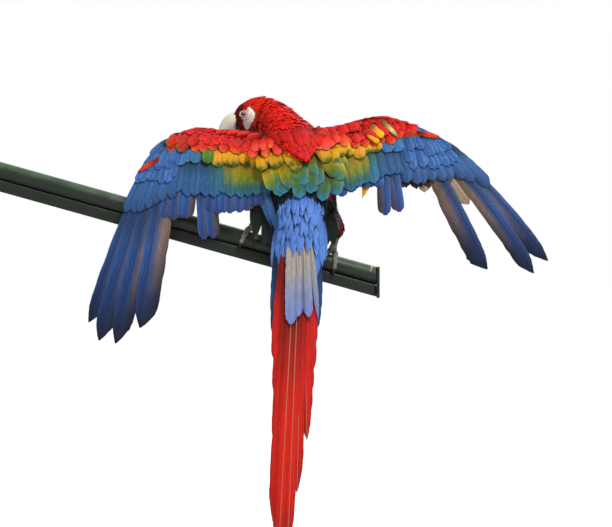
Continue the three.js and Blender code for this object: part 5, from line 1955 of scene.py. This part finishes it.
TUBE_WALL = 2.2
TUBE_DEPTH = 50
perch_length = (PERCH["right"] - PERCH["left"]) / cos(perch_turn) + 2 * PERCH["radius"]
perch_middle = (PERCH["right"] + PERCH["left"]) / 2
tube = added(
    "painted_tube", bpy.ops.mesh.primitive_cylinder_add, vertices=72, radius=PERCH["radius"] * MM,
    depth=perch_length * MM, location=by_perch(perch_middle, 0, -PERCH["radius"]) * MM,
    rotation=(0, pi / 2 - perch_turn, 0),
)
saw_to_perch(tube)
with opened(tube, "DESELECT"):
    bpy.ops.mesh.select_mode(type="FACE")
    mesh = bmesh.from_edit_mesh(tube.data)
    for face in mesh.faces:
        at_end = abs(face.calc_center_median().x - PERCH["left"] * MM) < 1e-4
        face.select_set(at_end and abs(face.normal.x) > 0.9)
    bmesh.update_edit_mesh(tube.data)
    bpy.ops.mesh.inset(thickness=TUBE_WALL * MM)
    bpy.ops.mesh.extrude_region_move()
    bpy.ops.transform.translate(value=(PERCH_ALONG * TUBE_DEPTH * MM).tolist())
break_edges(tube, width=0.6, segments=2, angle=50)
finish_piece(tube, GREEN_PAINT, ("perch_tube",), angle=40)

# The bar is welded to the tube, so its top reaches a little into it.
WELD = 1.2 * GAP
rail_up = -2 * PERCH["radius"] - GAP - RAIL["high"] / 2
rail = block("painted_rail", (perch_length, RAIL["deep"], RAIL["high"] + WELD),
             by_perch(perch_middle, 0, rail_up + WELD / 2), -perch_turn)
saw_to_perch(rail)
break_edges(rail, width=2.2, segments=4)
finish_piece(rail, PAINTED_SHADE_GREEN_PAINT, ("perch_rail",), angle=40)

end_plate = block(
    "end_plate", (END_PLATE["thick"], END_PLATE["deep"], END_PLATE["high"]),
    (PERCH["right"] + END_PLATE["thick"] / 2 + GAP, 0, perch_top(PERCH["right"]) - END_PLATE["high"] / 2),
)
break_edges(end_plate, width=1.4, segments=3)
finish_piece(end_plate, BLACK_PAINT, ("perch_end_plate",), angle=40)

# %% [markdown]
# ## The stand
# A plain museum stand holds the rail: a heavy base, a turned socket and one steel rod, sawn to the
# slope of the rail. They are dark and satin, so that they stay in the background. The base is a block
# with its corners rounded over, and socket and rod are circles extruded ring by ring, as a turner
# would follow an outline.

# %% Stand finish
steel, tree, shader = new_material("blackened_steel", Metallic=1.0, Roughness=0.38)
brushed = add_node(tree, "Mapping", in_Vector=own_place(tree), in_Scale=(1, 1, 0.04))
lines = noise(tree, brushed.outputs[0], 1600.0, 3.0)
feed(tree, blend(tree, lines, paint("3a3836"), paint("6a6660")), shader.inputs["Base Color"])
feed(tree, reckon(tree, "MULTIPLY_ADD", lines, 0.25, 0.25), shader.inputs["Roughness"])

lacquer, tree, shader = new_material("dark_lacquer", Roughness=0.42, Coat_Weight=0.25, Coat_Roughness=0.3)
along_grain = add_node(tree, "Mapping", in_Vector=own_place(tree), in_Scale=(0.5, 9, 9))
wood = noise(tree, along_grain.outputs[0], 16.0, 6.0)
feed(tree, blend(tree, wood, paint("171311"), paint("3d322b")), shader.inputs["Base Color"])
set_relief(tree, shader, wood, 0.15, 0.3)


# %% Base, socket and rod
def turned(name, profile, sides=64):
    """A turned form on the stand's axis, from radii and heights."""
    turn = np.linspace(0, 2 * pi, sides, endpoint=False)
    circle = np.stack([np.cos(turn), np.sin(turn), 0 * turn], -1)
    rings = [circle * radius + (STAND["centre_x"], 0, height) for radius, height in profile]
    return extruded(name, np.array(rings))


base = block("stand_plinth", (STAND["x"], STAND["y"], STAND["z"]),
             (STAND["centre_x"], STAND["centre_y"], STAND["z"] / 2))
with opened(base, "DESELECT"):
    bpy.ops.mesh.select_mode(type="EDGE")
    mesh = bmesh.from_edit_mesh(base.data)
    for edge in mesh.edges:
        edge.select_set(abs(edge.verts[0].co.z - edge.verts[1].co.z) > 1e-4)
    bmesh.update_edit_mesh(base.data)
    bpy.ops.mesh.bevel(offset=STAND["corner"] * MM, segments=14)
break_edges(base, width=3.0, segments=4)
finish_piece(base, lacquer, ("stand_base",), angle=40)

low = STAND["z"] + GAP
# how far inside the socket's radius its outline lies, and the height over its foot
SOCKET_PROFILE = [
    (1, 0), (0, 1), (0, 6), (1.5, 7.5), (5, 9), (7, 13), (7.6, 21), (7.6, 24.5), (8.4, SOCKET["height"]),
]
socket = turned("stand_collar", [(SOCKET["radius"] - inside, low + up) for inside, up in SOCKET_PROFILE])
finish_piece(socket, steel, ("stand_socket",), angle=40)

rod_foot = low + SOCKET["height"] + GAP
rail_under = by_perch(STAND["centre_x"], 0, rail_up - RAIL["high"] / 2 - GAP)
rod = turned("stand_post", [(STAND["rod"], height) for height in (rod_foot, 200, 400, 505)], 48)
saw(rod, (rail_under * MM).tolist(), PERCH_UP.tolist(), False)
break_edges(rod, width=0.5, segments=2, angle=50)
finish_piece(rod, steel, ("stand_rod",), angle=40)
